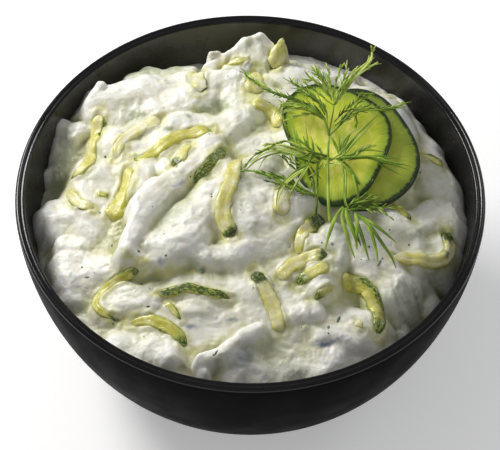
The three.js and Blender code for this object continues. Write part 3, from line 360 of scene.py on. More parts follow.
# Finer strands of the sprig as the camera sees them, in groups: tone from 0, dark, to about 1, light;
# size, of which the half width is three quarters at most; thickness as a share of the width; length of
# the needles along them, or 0 for none; and lines of points as (pixel across, pixel down, height over
# the plane of the front slice or over the dip, whichever is higher, in millimetres)
STRANDS_PX = [
    # arcs that sweep to the left
    (1.1, 0.48, 0.6, 0, [
        [(318, 160, 2.5), (300, 150, 3.5), (282, 145, 4), (268, 147, 3.5), (254, 156, 2.5), (243, 171, 1.5)],
        [(316, 162, 2.5), (300, 154, 3), (282, 150, 3.5), (267, 152, 3), (254, 161, 2.2), (247, 169, 1.5)],
        [(314, 164, 2), (298, 156, 2.6), (279, 153, 3), (266, 157, 2.4), (258, 170, 1.2)],
        [(310, 158, 2.6), (296, 152, 3.2), (280, 148, 3.6), (266, 150, 3), (250, 163, 2)],
        [(312, 160, 2.4), (298, 153, 3), (286, 147, 3.4), (272, 144, 3.4), (262, 145, 2.6)],
        [(300, 155, 3), (286, 152, 3.4), (270, 149, 3), (256, 152, 2.4)],
        [(308, 166, 2.5), (297, 175, 3), (286, 184, 2.8), (280, 194, 2.4), (277, 206, 1.5)],
        [(310, 164, 2.5), (303, 175, 3), (296, 184, 2.6), (290, 194, 1.6)],
        [(305, 168, 2.5), (292, 176, 3), (281, 186, 2.4), (273, 189, 1.8)],
    ]),
    (0.8, 0.3, 0.8, 3, [
        [(306, 158, 2.6), (292, 149, 3.2), (276, 144, 3.4), (262, 146, 2.6)],
        [(312, 166, 2.2), (300, 164, 2.6), (290, 156, 3), (278, 150, 3)],
    ]),
    # the mass between the arcs and the stem, and the second stem
    (0.4, 0.52, 0.6, 0, [
        [(320, 160, 2.2), (310, 152, 2.8), (300, 146, 3.2), (288, 141, 3.2)],
        [(320, 158, 2.2), (311, 150, 3), (303, 143, 3.4), (292, 137, 3.4)],
        [(318, 162, 2), (306, 157, 2.6), (294, 150, 3), (284, 144, 3)],
        [(316, 163, 2), (304, 160, 2.4), (294, 155, 2.6), (285, 149, 2.6)],
        [(316, 154, 2.6), (308, 147, 3.2), (299, 139, 3.6), (290, 130, 3.4)],
        [(318, 163, 2), (309, 158, 2.6), (301, 152, 3), (294, 143, 3)],
        [(316, 216, 1), (317, 200, 1.2), (317, 186, 1.4), (318, 172, 1.8), (323, 163, 2)],
        [(317, 190, 1.4), (313, 180, 1.8), (309, 170, 2.2), (304, 160, 2.6)],
    ]),
    # the dark bundle under the arcs, and the lower left branch
    (0.25, 0.34, 0.8, 3, [
        [(314, 194, 1.2), (300, 188, 1.7), (284, 182, 1.8), (268, 176, 1.5), (256, 172, 1.2)],
        [(312, 193, 1.3), (298, 186, 1.8), (282, 179, 1.9), (266, 174, 1.5)],
        [(310, 165, 1.5), (298, 166, 1.5), (290, 160, 1.8), (281, 152, 2)],
        [(306, 170, 1.2), (297, 170, 1.4), (289, 164, 1.6), (282, 156, 2)],
        [(316, 196, 1.2), (304, 190, 1.8), (290, 180, 2), (272, 174, 1.8), (251, 171, 1.2)],
        [(315, 197, 1.2), (300, 191, 1.6), (284, 186, 1.6), (264, 180, 1.2)],
        [(313, 195, 1.2), (296, 184, 2), (278, 177, 2), (260, 172, 1.5)],
        [(311, 167, 1.6), (317, 178, 1.6), (317, 190, 1.4)],
        [(306, 166, 1.6), (311, 180, 1.6), (314, 194, 1.2)],
    ]),
    # plain blades that stand up over the arcs
    (0.35, 0.5, 0.5, 0, [
        [(298, 150, 2.5), (295, 136, 3.5), (292, 123, 4)],
        [(309, 152, 2.5), (307, 138, 3.6), (305, 124, 4)],
        [(313, 156, 2.5), (307, 145, 3.5), (303, 136, 4)],
        [(294, 149, 2.5), (288, 138, 3.2), (284, 128, 3.6)],
        [(314, 156, 2.5), (313, 146, 3.4), (311, 136, 4)],
        [(303, 153, 2.5), (299, 142, 3.2), (296, 131, 3.6)],
        [(306, 157, 2.5), (299, 148, 3.2), (291, 140, 3.4)],
        [(310, 159, 2.5), (303, 150, 3.2), (298, 140, 3.6)],
        [(282, 114, 2), (285, 124, 1.5), (289, 135, 1.2)],
    ]),
    # the upper left
    (0.25, 0.34, 0.8, 3, [
        [(326, 122, 3), (317, 110, 4), (303, 102, 4.5), (286, 96, 4.5), (268, 90, 4), (245, 75, 3)],
        [(324, 120, 3), (308, 107, 4), (290, 99, 4), (272, 93, 3.6), (262, 87, 3.4)],
        [(325, 115, 3.5), (319, 104, 5), (308, 92, 6), (292, 82, 6)],
    ]),
    (0.7, 0.3, 0.9, 3.5, [
        [(326, 119, 3), (316, 108, 4.2), (300, 104, 4), (284, 103, 3.4), (278, 108, 3)],
        [(327, 120, 3), (316, 114, 3.6), (300, 115, 3), (286, 121, 2.4)],
        [(325, 118, 3), (312, 111, 3.6), (294, 109, 3), (280, 112, 2.6)],
        [(326, 112, 3.5), (321, 103, 5), (313, 95, 6), (304, 89, 6)],
    ]),
    # the top fan, and the light strands up and to the right
    (0.65, 0.36, 0.6, 4, [
        [(332, 101, 4.5), (327, 92, 6), (318, 84, 7), (308, 76, 7)],
        [(332, 100, 4.5), (326, 88, 6.5), (320, 78, 7.5), (316, 71, 8)],
        [(333, 98, 5), (330, 86, 7), (329, 76, 8), (328, 70, 8)],
        [(333, 98, 5), (335, 86, 7), (338, 76, 8), (341, 68, 8)],
        [(334, 100, 5), (340, 88, 7), (344, 78, 7.5), (347, 66, 7.5)],
        [(331, 96, 5), (322, 86, 6.5), (312, 80, 7), (304, 82, 6)],
        [(334, 103, 5), (341, 94, 6), (348, 84, 6.5), (356, 72, 7)],
        [(333, 105, 4.5), (324, 98, 5), (314, 90, 5.5), (306, 84, 5.5)],
    ]),
    (1, 0.62, 0.45, 0, [
        [(338, 98, 4.5), (346, 86, 5.5), (354, 74, 6), (368, 61, 6)],
        [(339, 100, 4.5), (347, 88, 5.5), (357, 76, 6), (378, 62, 5.5)],
        [(336, 104, 4.5), (342, 90, 6), (347, 78, 6.5), (358, 66, 6.5)],
        [(352, 80, 5.5), (362, 70, 6), (371, 60, 6), (372, 47, 5)],
    ]),
    # to the right
    (0.4, 0.32, 0.8, 3.5, [
        [(334, 122, 2.5), (346, 110, 3.5), (356, 101, 4), (374, 92, 4)],
        [(335, 126, 2.5), (350, 113, 3.5), (366, 108, 4), (386, 111, 3.4), (400, 104, 3)],
        [(350, 108, 3.5), (358, 98, 4.4), (364, 94, 4.6)],
        [(352, 110, 3.5), (362, 100, 4.4), (372, 97, 4)],
        [(352, 110, 3.5), (364, 106, 4), (376, 107, 3.6), (388, 110, 3.2)],
        [(356, 104, 4), (356, 116, 3), (357, 126, 2)],
        [(352, 108, 3.6), (348, 112, 3), (347, 118, 2.2)],
    ]),
    # flat strands to the right
    (0.3, 0.62, 0.5, 0, [
        [(340, 156, 1.4), (352, 155, 2), (360, 149, 2.4), (368, 145, 2.6), (374, 146, 2.4)],
        [(341, 157, 1.4), (352, 155, 2), (364, 150, 2.4), (385, 152, 2.4)],
        [(340, 160, 1.4), (354, 157, 2), (376, 156, 2.4), (399, 157, 2.2)],
        [(342, 160, 1.2), (368, 158, 1.8), (386, 163, 2), (410, 165, 1.4)],
        [(374, 159, 1.8), (392, 164, 2), (409, 170, 1.2)],
        [(378, 163, 1.4), (391, 170, 1.6), (403, 176, 1)],
    ]),
    # plain strands over the front slice, and the knot at the stem
    (0.6, 0.6, 0.5, 0, [
        [(340, 156, 1.6), (344, 140, 2.4), (352, 132, 2.8), (360, 128, 2.6)],
        [(342, 156, 1.6), (348, 146, 2), (358, 133, 2.4), (366, 126, 2.4), (377, 116, 2)],
        [(343, 156, 1.6), (352, 145, 2), (364, 132, 2.2), (376, 120, 2)],
        [(340, 154, 1.6), (339, 144, 2.6), (339, 134, 3)],
        [(341, 152, 1.6), (346, 142, 2.4), (351, 133, 2.6)],
        [(339, 154, 1.6), (335, 144, 1.8), (330, 135, 2)],
    ]),
    (0.75, 0.36, 0.6, 3, [
        [(328, 162, 1.8), (336, 158, 2.6), (346, 154, 3)],
        [(328, 160, 1.8), (322, 154, 3), (318, 146, 3.6)],
        [(328, 163, 1.8), (338, 164, 2.6), (350, 158, 2.6)],
        [(327, 164, 1.8), (320, 168, 2.4), (312, 176, 2.2)],
        [(326, 160, 1.8), (318, 156, 3), (310, 158, 3.2)],
    ]),
    # flat blades that hang from the right knot
    (0.45, 0.8, 0.4, 0, [
        [(342, 160, 1.2), (352, 172, 1.6), (357, 186, 1.4), (359, 200, 1.2)],
        [(353, 173, 1.5), (357, 180, 1.4), (360, 185, 1)],
        [(344, 168, 1.2), (345, 186, 1.4), (345, 205, 1.2)],
    ]),
    # the lower bush and its fan of blades
    (0.4, 0.34, 0.8, 4, [
        [(345, 206, 1.4), (356, 203, 2.4), (368, 202, 2.4), (384, 210, 1.4)],
        [(346, 208, 1.4), (358, 206, 2), (372, 206, 2), (390, 217, 1.2)],
        [(348, 207, 1.6), (357, 199, 2.6), (366, 196, 2.6)],
        [(352, 206, 1.6), (366, 200, 2.6), (380, 198, 2.2)],
        [(350, 208, 1.4), (362, 208, 1.8), (374, 212, 1.4)],
    ]),
    (0.45, 0.82, 0.35, 0, [
        [(343, 207, 1.6), (337, 214, 1.8), (332, 226, 1.8), (328, 238, 1.4), (325, 249, 1)],
        [(344, 208, 1.6), (342, 217, 2.2), (346, 232, 2.2), (350, 246, 1.8), (355, 258, 1)],
        [(346, 208, 1.6), (347, 218, 2.2), (353, 232, 2.4), (356, 240, 2), (357, 249, 1.4)],
        [(354, 210, 1.6), (357, 220, 2.2), (357, 232, 2.4), (356, 247, 1.4)],
        [(354, 210, 1.6), (357, 222, 2.2), (362, 236, 2.4), (366, 250, 2), (369, 260, 1)],
        [(358, 214, 1.8), (368, 225, 2.2), (373, 238, 2.2), (376, 250, 1.6), (378, 261, 1)],
        [(358, 214, 1.8), (370, 226, 2.4), (382, 243, 2.2), (392, 258, 1.6), (396, 268, 1)],
        [(360, 216, 1.8), (372, 223, 2.2), (384, 232, 2.2), (396, 242, 1)],
        [(346, 208, 1.6), (350, 220, 2), (356, 234, 2), (361, 246, 1.4)],
    ]),
]

# Herb flecks that stand out: x, y, length, width, direction in degrees
FLECKS = [
    (-43.8, -3.6, 4.4, 1.2, 47), (-47.7, -7.4, 0.9, 0.7, 6), (-43.3, -18.7, 1.3, 0.6, -87),
    (-34.4, -27.1, 1.6, 1.0, -23), (-33.3, -34.3, 1.2, 0.9, -53), (-30.8, -42.3, 1.4, 0.6, -3),
    (-41.6, -45.9, 1.0, 0.7, -42), (-52.3, -26.4, 0.9, 0.8, -5), (-50.1, -30.1, 2.8, 0.6, 0),
    (-47.4, 14.8, 1.1, 0.9, -47), (-9.2, -59, 1.8, 0.8, 57), (26, -20.8, 1.6, 1.2, -45),
    (12.8, -21.2, 1.5, 0.6, 63), (28.1, -44.4, 2.5, 1.0, 68), (25, -47.6, 1.6, 0.8, 78),
    (34, -38.1, 3.6, 0.7, 30), (41.1, -24.8, 4.1, 0.7, 62), (-39.1, -14.6, 2.4, 0.8, -68),
    (1.2, 41.3, 1.1, 0.8, -11), (5.5, 35.3, 1.1, 0.7, -16), (-14.5, -31.2, 2.2, 1.4, -4),
    (-23.7, 5.1, 2.0, 0.6, 60), (-21.4, 7.2, 1.5, 0.6, -50),
]
FINE_FLECKS = 45
FLECK_REACH = 62.0
FLECK_HALF_THICKNESS = 0.16

# Stains in the yoghurt: x, y, half length, half width, direction in degrees, kind and strength. Some are
# painted shade, as said below.
STAINS = [
    # under the fold's lip, on its shaded sides, and in the corner behind it; the juice and film patches
    # under the lip and on the shaded sides are painted shade
    (-34.7, -29.7, 6, 1.6, -17, "juice", 0.9), (-21.7, -31.3, 9, 1.4, 0, "juice", 0.8),
    (-14.5, -31.2, 1.8, 1.0, -4, "leaf", 0.9), (-22.7, -9.1, 17, 3, 57, "film_and_shade", 0.4),
    (-19, -28.3, 14, 1.6, 0, "film_and_shade", 0.5), (-22.2, 2.0, 3.5, 1.6, 20, "leaf", 0.35),
    (-23.6, -2.2, 3, 0.8, 28, "blue", 0.8),
    # the back left: lump, finger by the wall, film behind the dollop; the film patches under the lump and on
    # the steep flanks by the finger and the wall are painted shade
    (-37.7, 32.1, 4, 2.2, -19, "film_and_shade", 0.9), (-36.5, 32.4, 1.6, 0.9, 30, "leaf", 0.4),
    (-41.9, 23.7, 1.9, 1.1, -28, "leaf", 0.75), (-21.3, 29.1, 1.3, 1.0, -12, "leaf", 0.7),
    (-60.5, 24, 5, 3, -80, "film_and_shade", 0.8), (-63, 15, 12, 3, 85, "film_and_shade", 0.9),
    (-37, 52.4, 7, 2.6, 13, "film_and_shade", 1.0), (-26, 55, 6, 2.6, 13, "film_and_shade", 1.0),
    (-33, 57, 11, 2.4, 12, "herb", 0.7), (-16, 60, 7, 2, 6, "herb", 0.5),
    (-39.7, 16.2, 6, 1.6, -80, "juice", 0.8), (-50.2, 21, 6, 1.8, 85, "film_and_shade", 0.5),
    # the middle and round the dollop; the film in the hollow and the blue patches beside the dollop are
    # painted shade
    (-11.3, 34, 7, 3, 4, "film_and_shade", 0.85), (-18.5, 32.5, 2.6, 1.6, 20, "juice", 0.6),
    (6.2, 32.1, 6, 2.6, -42, "juice", 0.7), (-1.6, 47, 4, 1.4, -24, "blue", 0.7),
    (-8, 48.5, 3, 1.2, 10, "film_and_shade", 0.8), (-5.5, 16, 5, 2.5, 20, "film_and_shade", 0.4),
    (-12.3, 56, 2.4, 1.2, 20, "film_and_shade", 0.8), (-2.8, 49.6, 2.4, 1.4, 40, "blue", 0.8),
    (7.2, 43.5, 2.8, 1.2, -38, "leaf", 0.5), (7.2, 43.5, 4, 2.2, -38, "juice", 0.7),
    (-1.2, 0, 6, 1.6, -80, "leaf", 0.55), (8.5, 13.5, 6, 3.5, -20, "film_and_shade", 0.6),
    # the front; the wide blue patch on the finger's lower face is painted shade
    (24.1, -52.4, 3.6, 0.9, 3, "blue", 1.0), (27.2, -51.6, 1.4, 0.8, -38, "blue", 1.0),
    (-17.6, -48.5, 1.8, 0.8, -12, "blue", 0.9), (-4.4, -46.9, 1.6, 0.7, -4, "blue", 0.8),
    (-26.9, -29.3, 1.2, 0.7, -34, "blue", 0.8), (-38, -38.5, 4, 2, 10, "film_and_shade", 0.35),
    (-1, -58.5, 4.5, 2.2, 48, "blue", 0.6), (7, -54, 4, 2, 10, "film_and_shade", 0.5),
    # the right; the film over the drips by the wall is partly painted shade
    (16.4, -15.5, 4, 2, 62, "film_and_shade", 0.6), (50, -33.5, 8, 5, 23, "film_and_shade", 0.6),
    (52.2, -12.2, 6, 2, 28, "film_and_shade", 0.8), (42, -12, 6, 2, -10, "film_and_shade", 0.4),
    (30, -27, 3, 1.6, -60, "film_and_shade", 0.5), (57, -27, 7, 3, 60, "herb", 0.55),
    (50, -41, 8, 3, 42, "film_and_shade", 0.8), (46, -36, 2.2, 1, -55, "herb", 0.7),
    (53, -34, 2.4, 1, -50, "herb", 0.7),
]
# Colour of each kind of stain; film, blue and juice are also used for painted shade
STAIN_TINTS = {
    "juice": (208, 206, 118), "film_and_shade": (176, 184, 148), "leaf": (98, 114, 66), "blue": (138, 150, 170),
    "herb": (134, 146, 116),
}

# Bits of cucumber just under the surface
BIT_COUNT = 95
BIT_SEED = 11

# Yoghurt heaped up along the shreds
BANK_REACH = 3.5
BANK_HEIGHT = 0.8
BANK_PLACE = -0.15  # distance of its middle from the shred's side
BANK_WIDTH = 0.95
BANK_WAVES = (0.9, 4)

# Grid on which the finished dip's heights are kept
GRID_REACH = 75.0
GRID_STEP = 0.4

# Camera: angle below the horizon, roll, distance from the rim's middle in millimetres, and the
# focal length and the view's middle in pixels of the 500 x 450 picture
CAMERA_DOWN = 52.9036
CAMERA_ROLL = 1.384
CAMERA_DISTANCE = 700.0
CAMERA_FOCAL_PX = 2197.0
CAMERA_MIDDLE_PX = (250.549, 190.364)
PHOTO_WIDTH_PX = 500
PHOTO_HEIGHT_PX = 450

# Lamps: name, azimuth and elevation in degrees, distance, width and height in metres, power, colour
LAMPS = [
    ("key", 142, 36, 0.58, 0.26, 0.2, 3.2, (1.0, 0.985, 0.955)),
    ("front", -95, 32, 1.1, 0.9, 0.3, 0.22, (1, 1, 1)),
    ("right_back", 40, 30, 1.0, 0.35, 0.3, 0.8, (0.97, 0.98, 1.0)),
]
LAMP_AIM = (0, 0, 0.06)
WORLD_COLOUR = (0.97, 0.98, 1.0, 1)
WORLD_STRENGTH = 0.3
FLOOR_REACH = 3000


# ---- meshes


def new_object(name, vertices, faces, smooth=True):
    """A mesh object from points in millimetres and a list or array of faces."""
    mesh = bpy.data.meshes.new(name)
    mesh.from_pydata((np.asarray(vertices) * MM).tolist(), [], [list(map(int, face)) for face in faces])
    mesh.update()
    mesh.polygons.foreach_set("use_smooth", [smooth] * len(mesh.polygons))
    piece = bpy.data.objects.new(name, mesh)
    bpy.context.scene.collection.objects.link(piece)
    return piece


def give(piece, name, values):
    """Stores a number, or three, for each vertex."""
    values = np.asarray(values, np.float32)
    if values.ndim == 1:
        piece.data.attributes.new(name, "FLOAT", "POINT").data.foreach_set("value", values)
    else:
        piece.data.attributes.new(name, "FLOAT_VECTOR", "POINT").data.foreach_set("vector", values.ravel())


def unit(vectors):
    return vectors / np.maximum(np.linalg.norm(vectors, axis=-1, keepdims=True), 1e-9)


def path_length(points):
    return sum(math.dist(a, b) for a, b in zip(points, points[1:]))


def smooth_path(points, count):
    """Points at even distances along a centripetal Catmull-Rom curve."""
    points = np.asarray(points, float)
    points = np.vstack([2 * points[0] - points[1], points, 2 * points[-1] - points[-2]])
    dense = []
    for i in range(1, len(points) - 2):
        p = points[i - 1 : i + 3]
        knots = np.concatenate([[0], np.cumsum(np.linalg.norm(np.diff(p, axis=0), axis=1) ** 0.5 + 1e-6)])
        t = np.linspace(knots[1], knots[2], 24, endpoint=i == len(points) - 3)[:, None]

        def mix(a, b, first, last):
            return (a * (knots[last] - t) + b * (t - knots[first])) / (knots[last] - knots[first])

        a1, a2, a3 = mix(p[0], p[1], 0, 1), mix(p[1], p[2], 1, 2), mix(p[2], p[3], 2, 3)
        dense.append(mix(mix(a1, a2, 0, 2), mix(a2, a3, 1, 3), 1, 2))
    dense = np.vstack(dense)
    reach = np.concatenate([[0], np.cumsum(np.linalg.norm(np.diff(dense, axis=0), axis=1))])
    at = np.linspace(0, reach[-1], count)
    return np.stack([np.interp(at, reach, dense[:, k]) for k in range(3)], 1)


def tube_faces(rings, sides):
    """Faces of a tube of rings, closed by one vertex at each end (the last two vertices)."""
    faces = []
    for i in range(rings - 1):
        for k in range(sides):
            a, b = i * sides + k, i * sides + (k + 1) % sides
            faces.append((a, a + sides, b + sides, b))
    first_tip, last_tip = rings * sides, rings * sides + 1
    for k in range(sides):
        faces.append((k, (k + 1) % sides, first_tip))
        faces.append(((rings - 1) * sides + (k + 1) % sides, (rings - 1) * sides + k, last_tip))
    return faces


# ---- noise and the dip's surface


def gradient_noise(x, y, seed):
    """Smooth noise between about -1 and 1, the same as the part's."""
    i, j = np.floor(x), np.floor(y)
    u, v = x - i, y - j
    fade_u, fade_v = u**3 * (u * (u * 6 - 15) + 10), v**3 * (v * (v * 6 - 15) + 10)

    def dot(di, dj):
        value = np.sin((i + di) * 127.1 + (j + dj) * 311.7 + seed * 74.7) * 43758.5453
        angle = 2 * np.pi * (value - np.floor(value))
        return np.cos(angle) * (u - di) + np.sin(angle) * (v - dj)

    near = dot(0, 0) + (dot(1, 0) - dot(0, 0)) * fade_u
    far = dot(0, 1) + (dot(1, 1) - dot(0, 1)) * fade_u
    return 1.5 * (near + (far - near) * fade_v)


def wave(x, y, amplitude, length, seed):
    return amplitude * gradient_noise(x / length, y / length, seed)


def smooth_max(a, b, blend):
    share = np.maximum(blend - np.abs(a - b), 0) / blend
    return np.maximum(a, b) + share * share * blend * 0.25


def lobe_height(x, y, lobe):
    x0, y0, z0, x1, y1, z1, width, drop, _ = lobe
    dx, dy = x1 - x0, y1 - y0
    t = np.clip(((x - x0) * dx + (y - y0) * dy) / (dx * dx + dy * dy), 0, 1)
    away = np.hypot(x - x0 - t * dx, y - y0 - t * dy) / width
    return z0 + (z1 - z0) * t - drop * away**3


def warped(x, y):
    return (
        x + wave(x, y, *COARSE_WARP, 1) + wave(x, y, *FINE_WARP, 2),
        y + wave(x, y, *COARSE_WARP, 3) + wave(x, y, *FINE_WARP, 4),
    )


def dip_height(x, y):
    """Height of the dip's surface over the base, as in the part."""
    wx, wy = warped(x, y)
    azimuths, depths = np.array(EDGE_DEPTH, float).T
    fall = DIP_TOP - BOWL_HEIGHT + np.interp(np.degrees(np.arctan2(y, x)), azimuths, depths)
    height = DIP_TOP - fall * np.minimum(np.hypot(x, y) / DIP_RADIUS, 1.1) ** DOME_POWER
    for lobe in LOBES:
        height = smooth_max(height, lobe_height(wx, wy, lobe), lobe[8])
    return height + wave(x, y, *SWELL, 9)


def stroke_places(wx, wy):
    """Where each point lies along and across the lobe that is highest there."""
    highest, along, across = np.full(np.shape(wx), LOWEST_STROKE), wx * 1.0, wy * 1.0
    for number, lobe in enumerate(LOBES):
        x0, y0, _, x1, y1, _ = lobe[:6]
        length = math.hypot(x1 - x0, y1 - y0)
        dx, dy = (x1 - x0) / length, (y1 - y0) / length
        height = lobe_height(wx, wy, lobe)
        higher = height > highest
        highest = np.maximum(height, highest)
        along = np.where(higher, (wx - x0) * dx + (wy - y0) * dy + STROKE_SHIFT * number, along)
        across = np.where(higher, (wy - y0) * dx - (wx - x0) * dy, across)
    return along, across


def billow(x, y, lumps):
    """Round lumps that meet in creases."""
    height, length, breadth, seed, crease = lumps
    return height * np.sqrt(gradient_noise(x / length, y / breadth, seed) ** 2 + crease)


def streaks(across, along, marks):
    height, breadth, length, seed = marks
    return height * gradient_noise(across / breadth, along / length, seed)


def dip_relief(x, y):
    """Creases, spoon marks and small lumps of the yoghurt, added to the dip's height."""
    wx, wy = warped(x, y)
    cos_turn, sin_turn = math.cos(RELIEF_TURN), math.sin(RELIEF_TURN)
    u = cos_turn * wx - sin_turn * wy + wave(x, y, *RELIEF_BEND, 14)
    v = sin_turn * wx + cos_turn * wy + wave(x, y, *RELIEF_BEND, 15)
    relief = billow(u, v, BROAD_LUMPS) + billow(u, v, MIDDLE_LUMPS)
    along, across = stroke_places(wx, wy)
    marks = streaks(across, along, SPOON_MARKS) + streaks(across, along, FINE_MARKS)
    lumpy = np.clip(0.5 + wave(x, y, *LUMPY_PATCHES, 18), 0, 1)
    lumps = billow(wx, wy, SMALL_LUMPS) + wave(x, y, *GRAINS, 10)
    return relief + marks * (1.15 - lumpy) + lumps * (0.15 + lumpy)


def oval(x, y, patch):
    """1 in the middle of an oval patch (x, y, half length, half width, direction), 0 outside it."""
    px, py, length, width, direction = patch[:5]
    dx, dy = math.cos(math.radians(direction)), math.sin(math.radians(direction))
    along, across = (x - px) * dx + (y - py) * dy, (y - py) * dx - (x - px) * dy
    return np.exp(-(((along / length) ** 2 + (across / width) ** 2) ** 1.5))


def buried_bits():
    """Bits of cucumber just under the surface: oval patches with the height that they lift it."""
    draw = np.random.default_rng(BIT_SEED)
    bits = []
    for _ in range(BIT_COUNT):
        turn, away = draw.uniform(0, 2 * math.pi), FLECK_REACH * math.sqrt(draw.uniform(0, 1))
        bits.append((away * math.cos(turn), away * math.sin(turn), draw.uniform(1.1, 3.0),
                     draw.uniform(0.7, 1.3), draw.uniform(0, 180), draw.uniform(0.15, 0.5)))
    return bits


def shred_distance(x, y):
    """Distance to the side of the nearest shred, below zero on it and at most BANK_REACH, and how far
    beside the shred rather than past its end a point lies, from 0 to 1."""
    best, beside = np.full(np.shape(x), BANK_REACH), np.ones(np.shape(x))
    for width, plan, *_ in SHREDS.values():
        line = smooth_path([(px, py, 0) for px, py, *_ in plan], 30)[:, :2]
        low, high = line.min(0) - width / 2 - BANK_REACH, line.max(0) + width / 2 + BANK_REACH
        near = (x > low[0]) & (x < high[0]) & (y > low[1]) & (y < high[1])
        if not near.any():
            continue
        here = np.stack([x[near], y[near]], -1)
        step = np.diff(line, axis=0)[None]
        offset = here[:, None] - line[None, :-1]
        t = np.clip((offset * step).sum(-1) / (step**2).sum(-1), 0, 1)
        away = np.linalg.norm(offset - t[..., None] * step, axis=-1).min(1) - width / 2
        past_start = ((here - line[0]) * unit(line[0] - line[1])).sum(1)
        past_end = ((here - line[-1]) * unit(line[-1] - line[-2])).sum(1)
        ends = [np.linalg.norm(here - end, axis=1) for end in (line[0], line[-1])]
        past = np.where(ends[0] < ends[1], past_start, past_end)
        closer = away < best[near]
        beside[near] = np.where(closer, np.clip(1 - past / (0.5 * width), 0, 1), beside[near])
        best[near] = np.minimum(best[near], away)
    return best, beside


def dip_surface(x, y):
    """Height of the finished dip: calmer under the shreds and heaped up along their sides."""
    x, y = np.atleast_1d(x).astype(float), np.atleast_1d(y).astype(float)
    away, beside = shred_distance(x, y)
    calm = np.clip((away + 0.8) / 3, 0.3, 1)
    uneven = np.clip(0.8 + wave(x, y, *BANK_WAVES, 12), 0, 1.6) * beside
    bank = BANK_HEIGHT * np.exp(-(((away - BANK_PLACE) / BANK_WIDTH) ** 2)) * uneven
    height = dip_height(x, y) + dip_relief(x, y) * calm + bank
    for bit in BITS:
        height = height + bit[5] * oval(x, y, bit) * calm
    return height


class FinishedDip:
    """Heights of the finished dip, kept on a fine grid and read between its points."""

    def __init__(self):
        self.line = np.arange(-GRID_REACH, GRID_REACH + GRID_STEP, GRID_STEP)
        x, y = np.meshgrid(self.line, self.line)
        self.grid = dip_surface(x, y)

    def height(self, x, y):
        last = len(self.line) - 2
        u = np.clip((np.asarray(x, float) + GRID_REACH) / GRID_STEP, 0, last + 0.999)
        v = np.clip((np.asarray(y, float) + GRID_REACH) / GRID_STEP, 0, last + 0.999)
        i, j = np.floor(u).astype(int), np.floor(v).astype(int)
        u, v = u - i, v - j
        near = self.grid[j, i] * (1 - u) + self.grid[j, i + 1] * u
        far = self.grid[j + 1, i] * (1 - u) + self.grid[j + 1, i + 1] * u
        return near * (1 - v) + far * v

    def normals(self, x, y, reach=2.5):
        rise_x = self.height(x + reach, y) - self.height(x - reach, y)
        rise_y = self.height(x, y + reach) - self.height(x, y - reach)
        return unit(np.stack([-rise_x, -rise_y, np.full_like(rise_x, 2 * reach)], -1))


# ---- bowl


def outer_radius(depth):
    return RIM_RADIUS * (1 - (np.asarray(depth, float) / CURVE_DEPTH) ** CURVE_POWER) ** (1 / CURVE_ROOT)


def inner_wall(depth, outward=0.0):
    """Points (radius, height) of the inner wall, moved outward into the wall by a distance."""
    depth = np.asarray(depth, float)
    step = 0.01
    along = np.stack([outer_radius(depth + step) - outer_radius(depth - step),
                      np.full_like(depth, -2 * step)], -1)
    inward = unit(np.stack([along[..., 1], -along[..., 0]], -1))
    wall = WALL_TOP + (WALL_FOOT - WALL_TOP) * depth / BOWL_HEIGHT - outward
    return np.stack([outer_radius(depth), BOWL_HEIGHT - depth], -1) + inward * wall[..., None]


def rounded(start, middle, end, count):
    """Points of an elliptical quarter from start to end round a middle."""
    angle = np.linspace(0, math.pi / 2, count)[:, None]
    start, middle, end = (np.asarray(point, float) for point in (start, middle, end))
    return middle + (start - middle) * np.cos(angle) + (end - middle) * np.sin(angle)


def bowl_profile():
    """Outline (radius, height) of the bowl from the axis under the base to the axis inside."""
    foot = float(outer_radius(BOWL_HEIGHT - FOOT_ROUND))
    bottom = rounded((foot - 2 * FOOT_ROUND, 0), (foot - 2 * FOOT_ROUND, FOOT_ROUND), (foot, FOOT_ROUND), 6)
    outer_edge, inner_edge = LIP_ROUND_OUT, LIP_ROUND_IN
    share = np.sin(np.linspace(1, 0, 46) * math.pi / 2)
    depth = outer_edge + (BOWL_HEIGHT - FOOT_ROUND - outer_edge) * share
    outer = np.stack([outer_radius(depth), BOWL_HEIGHT - depth], 1)
    rim_out = rounded(outer[-1], outer[-1] - (outer_edge, 0), outer[-1] + (-outer_edge, outer_edge), 9)
    lip_in = inner_wall(np.array([inner_edge + LIP_STEP]))[0]
    rim_in = rounded(lip_in + (inner_edge, inner_edge), lip_in + (inner_edge, 0), lip_in, 8)
    lip = np.linspace(rim_out[-1], rim_in[0], 7)[1:-1]
    lip[:, 1] -= LIP_DISH * np.sin(np.linspace(0, math.pi, 7))[1:-1]
    share = np.sin(np.linspace(0, 1, 50) * math.pi / 2)
    inner = inner_wall(inner_edge + LIP_STEP + (INNER_DEPTH - inner_edge - LIP_STEP) * share)
    floor = np.linspace(inner[-1], (0, FLOOR_HEIGHT), 8)[1:]
    floor[:, 1] = FLOOR_HEIGHT
    return np.vstack([[(0, 0)], bottom, outer[1:], rim_out[1:], lip, rim_in, inner[1:], floor])


def lathe(name, profile, segments):
    """A closed body of revolution whose profile starts and ends on the axis."""
    turn = np.arange(segments) / segments * 2 * math.pi
    ring = profile[1:-1]
    body = np.stack([ring[:, :1] * np.cos(turn), ring[:, :1] * np.sin(turn),
                     np.repeat(ring[:, 1:], segments, 1)], -1).reshape(-1, 3)
    vertices = np.vstack([body, (0, 0, profile[0, 1]), (0, 0, profile[-1, 1])])
    # the profile runs the other way than a tube's rings, so each face is turned over
    faces = [(face[0], *face[:0:-1]) for face in tube_faces(len(ring), segments)]
    return new_object(name, vertices, faces)


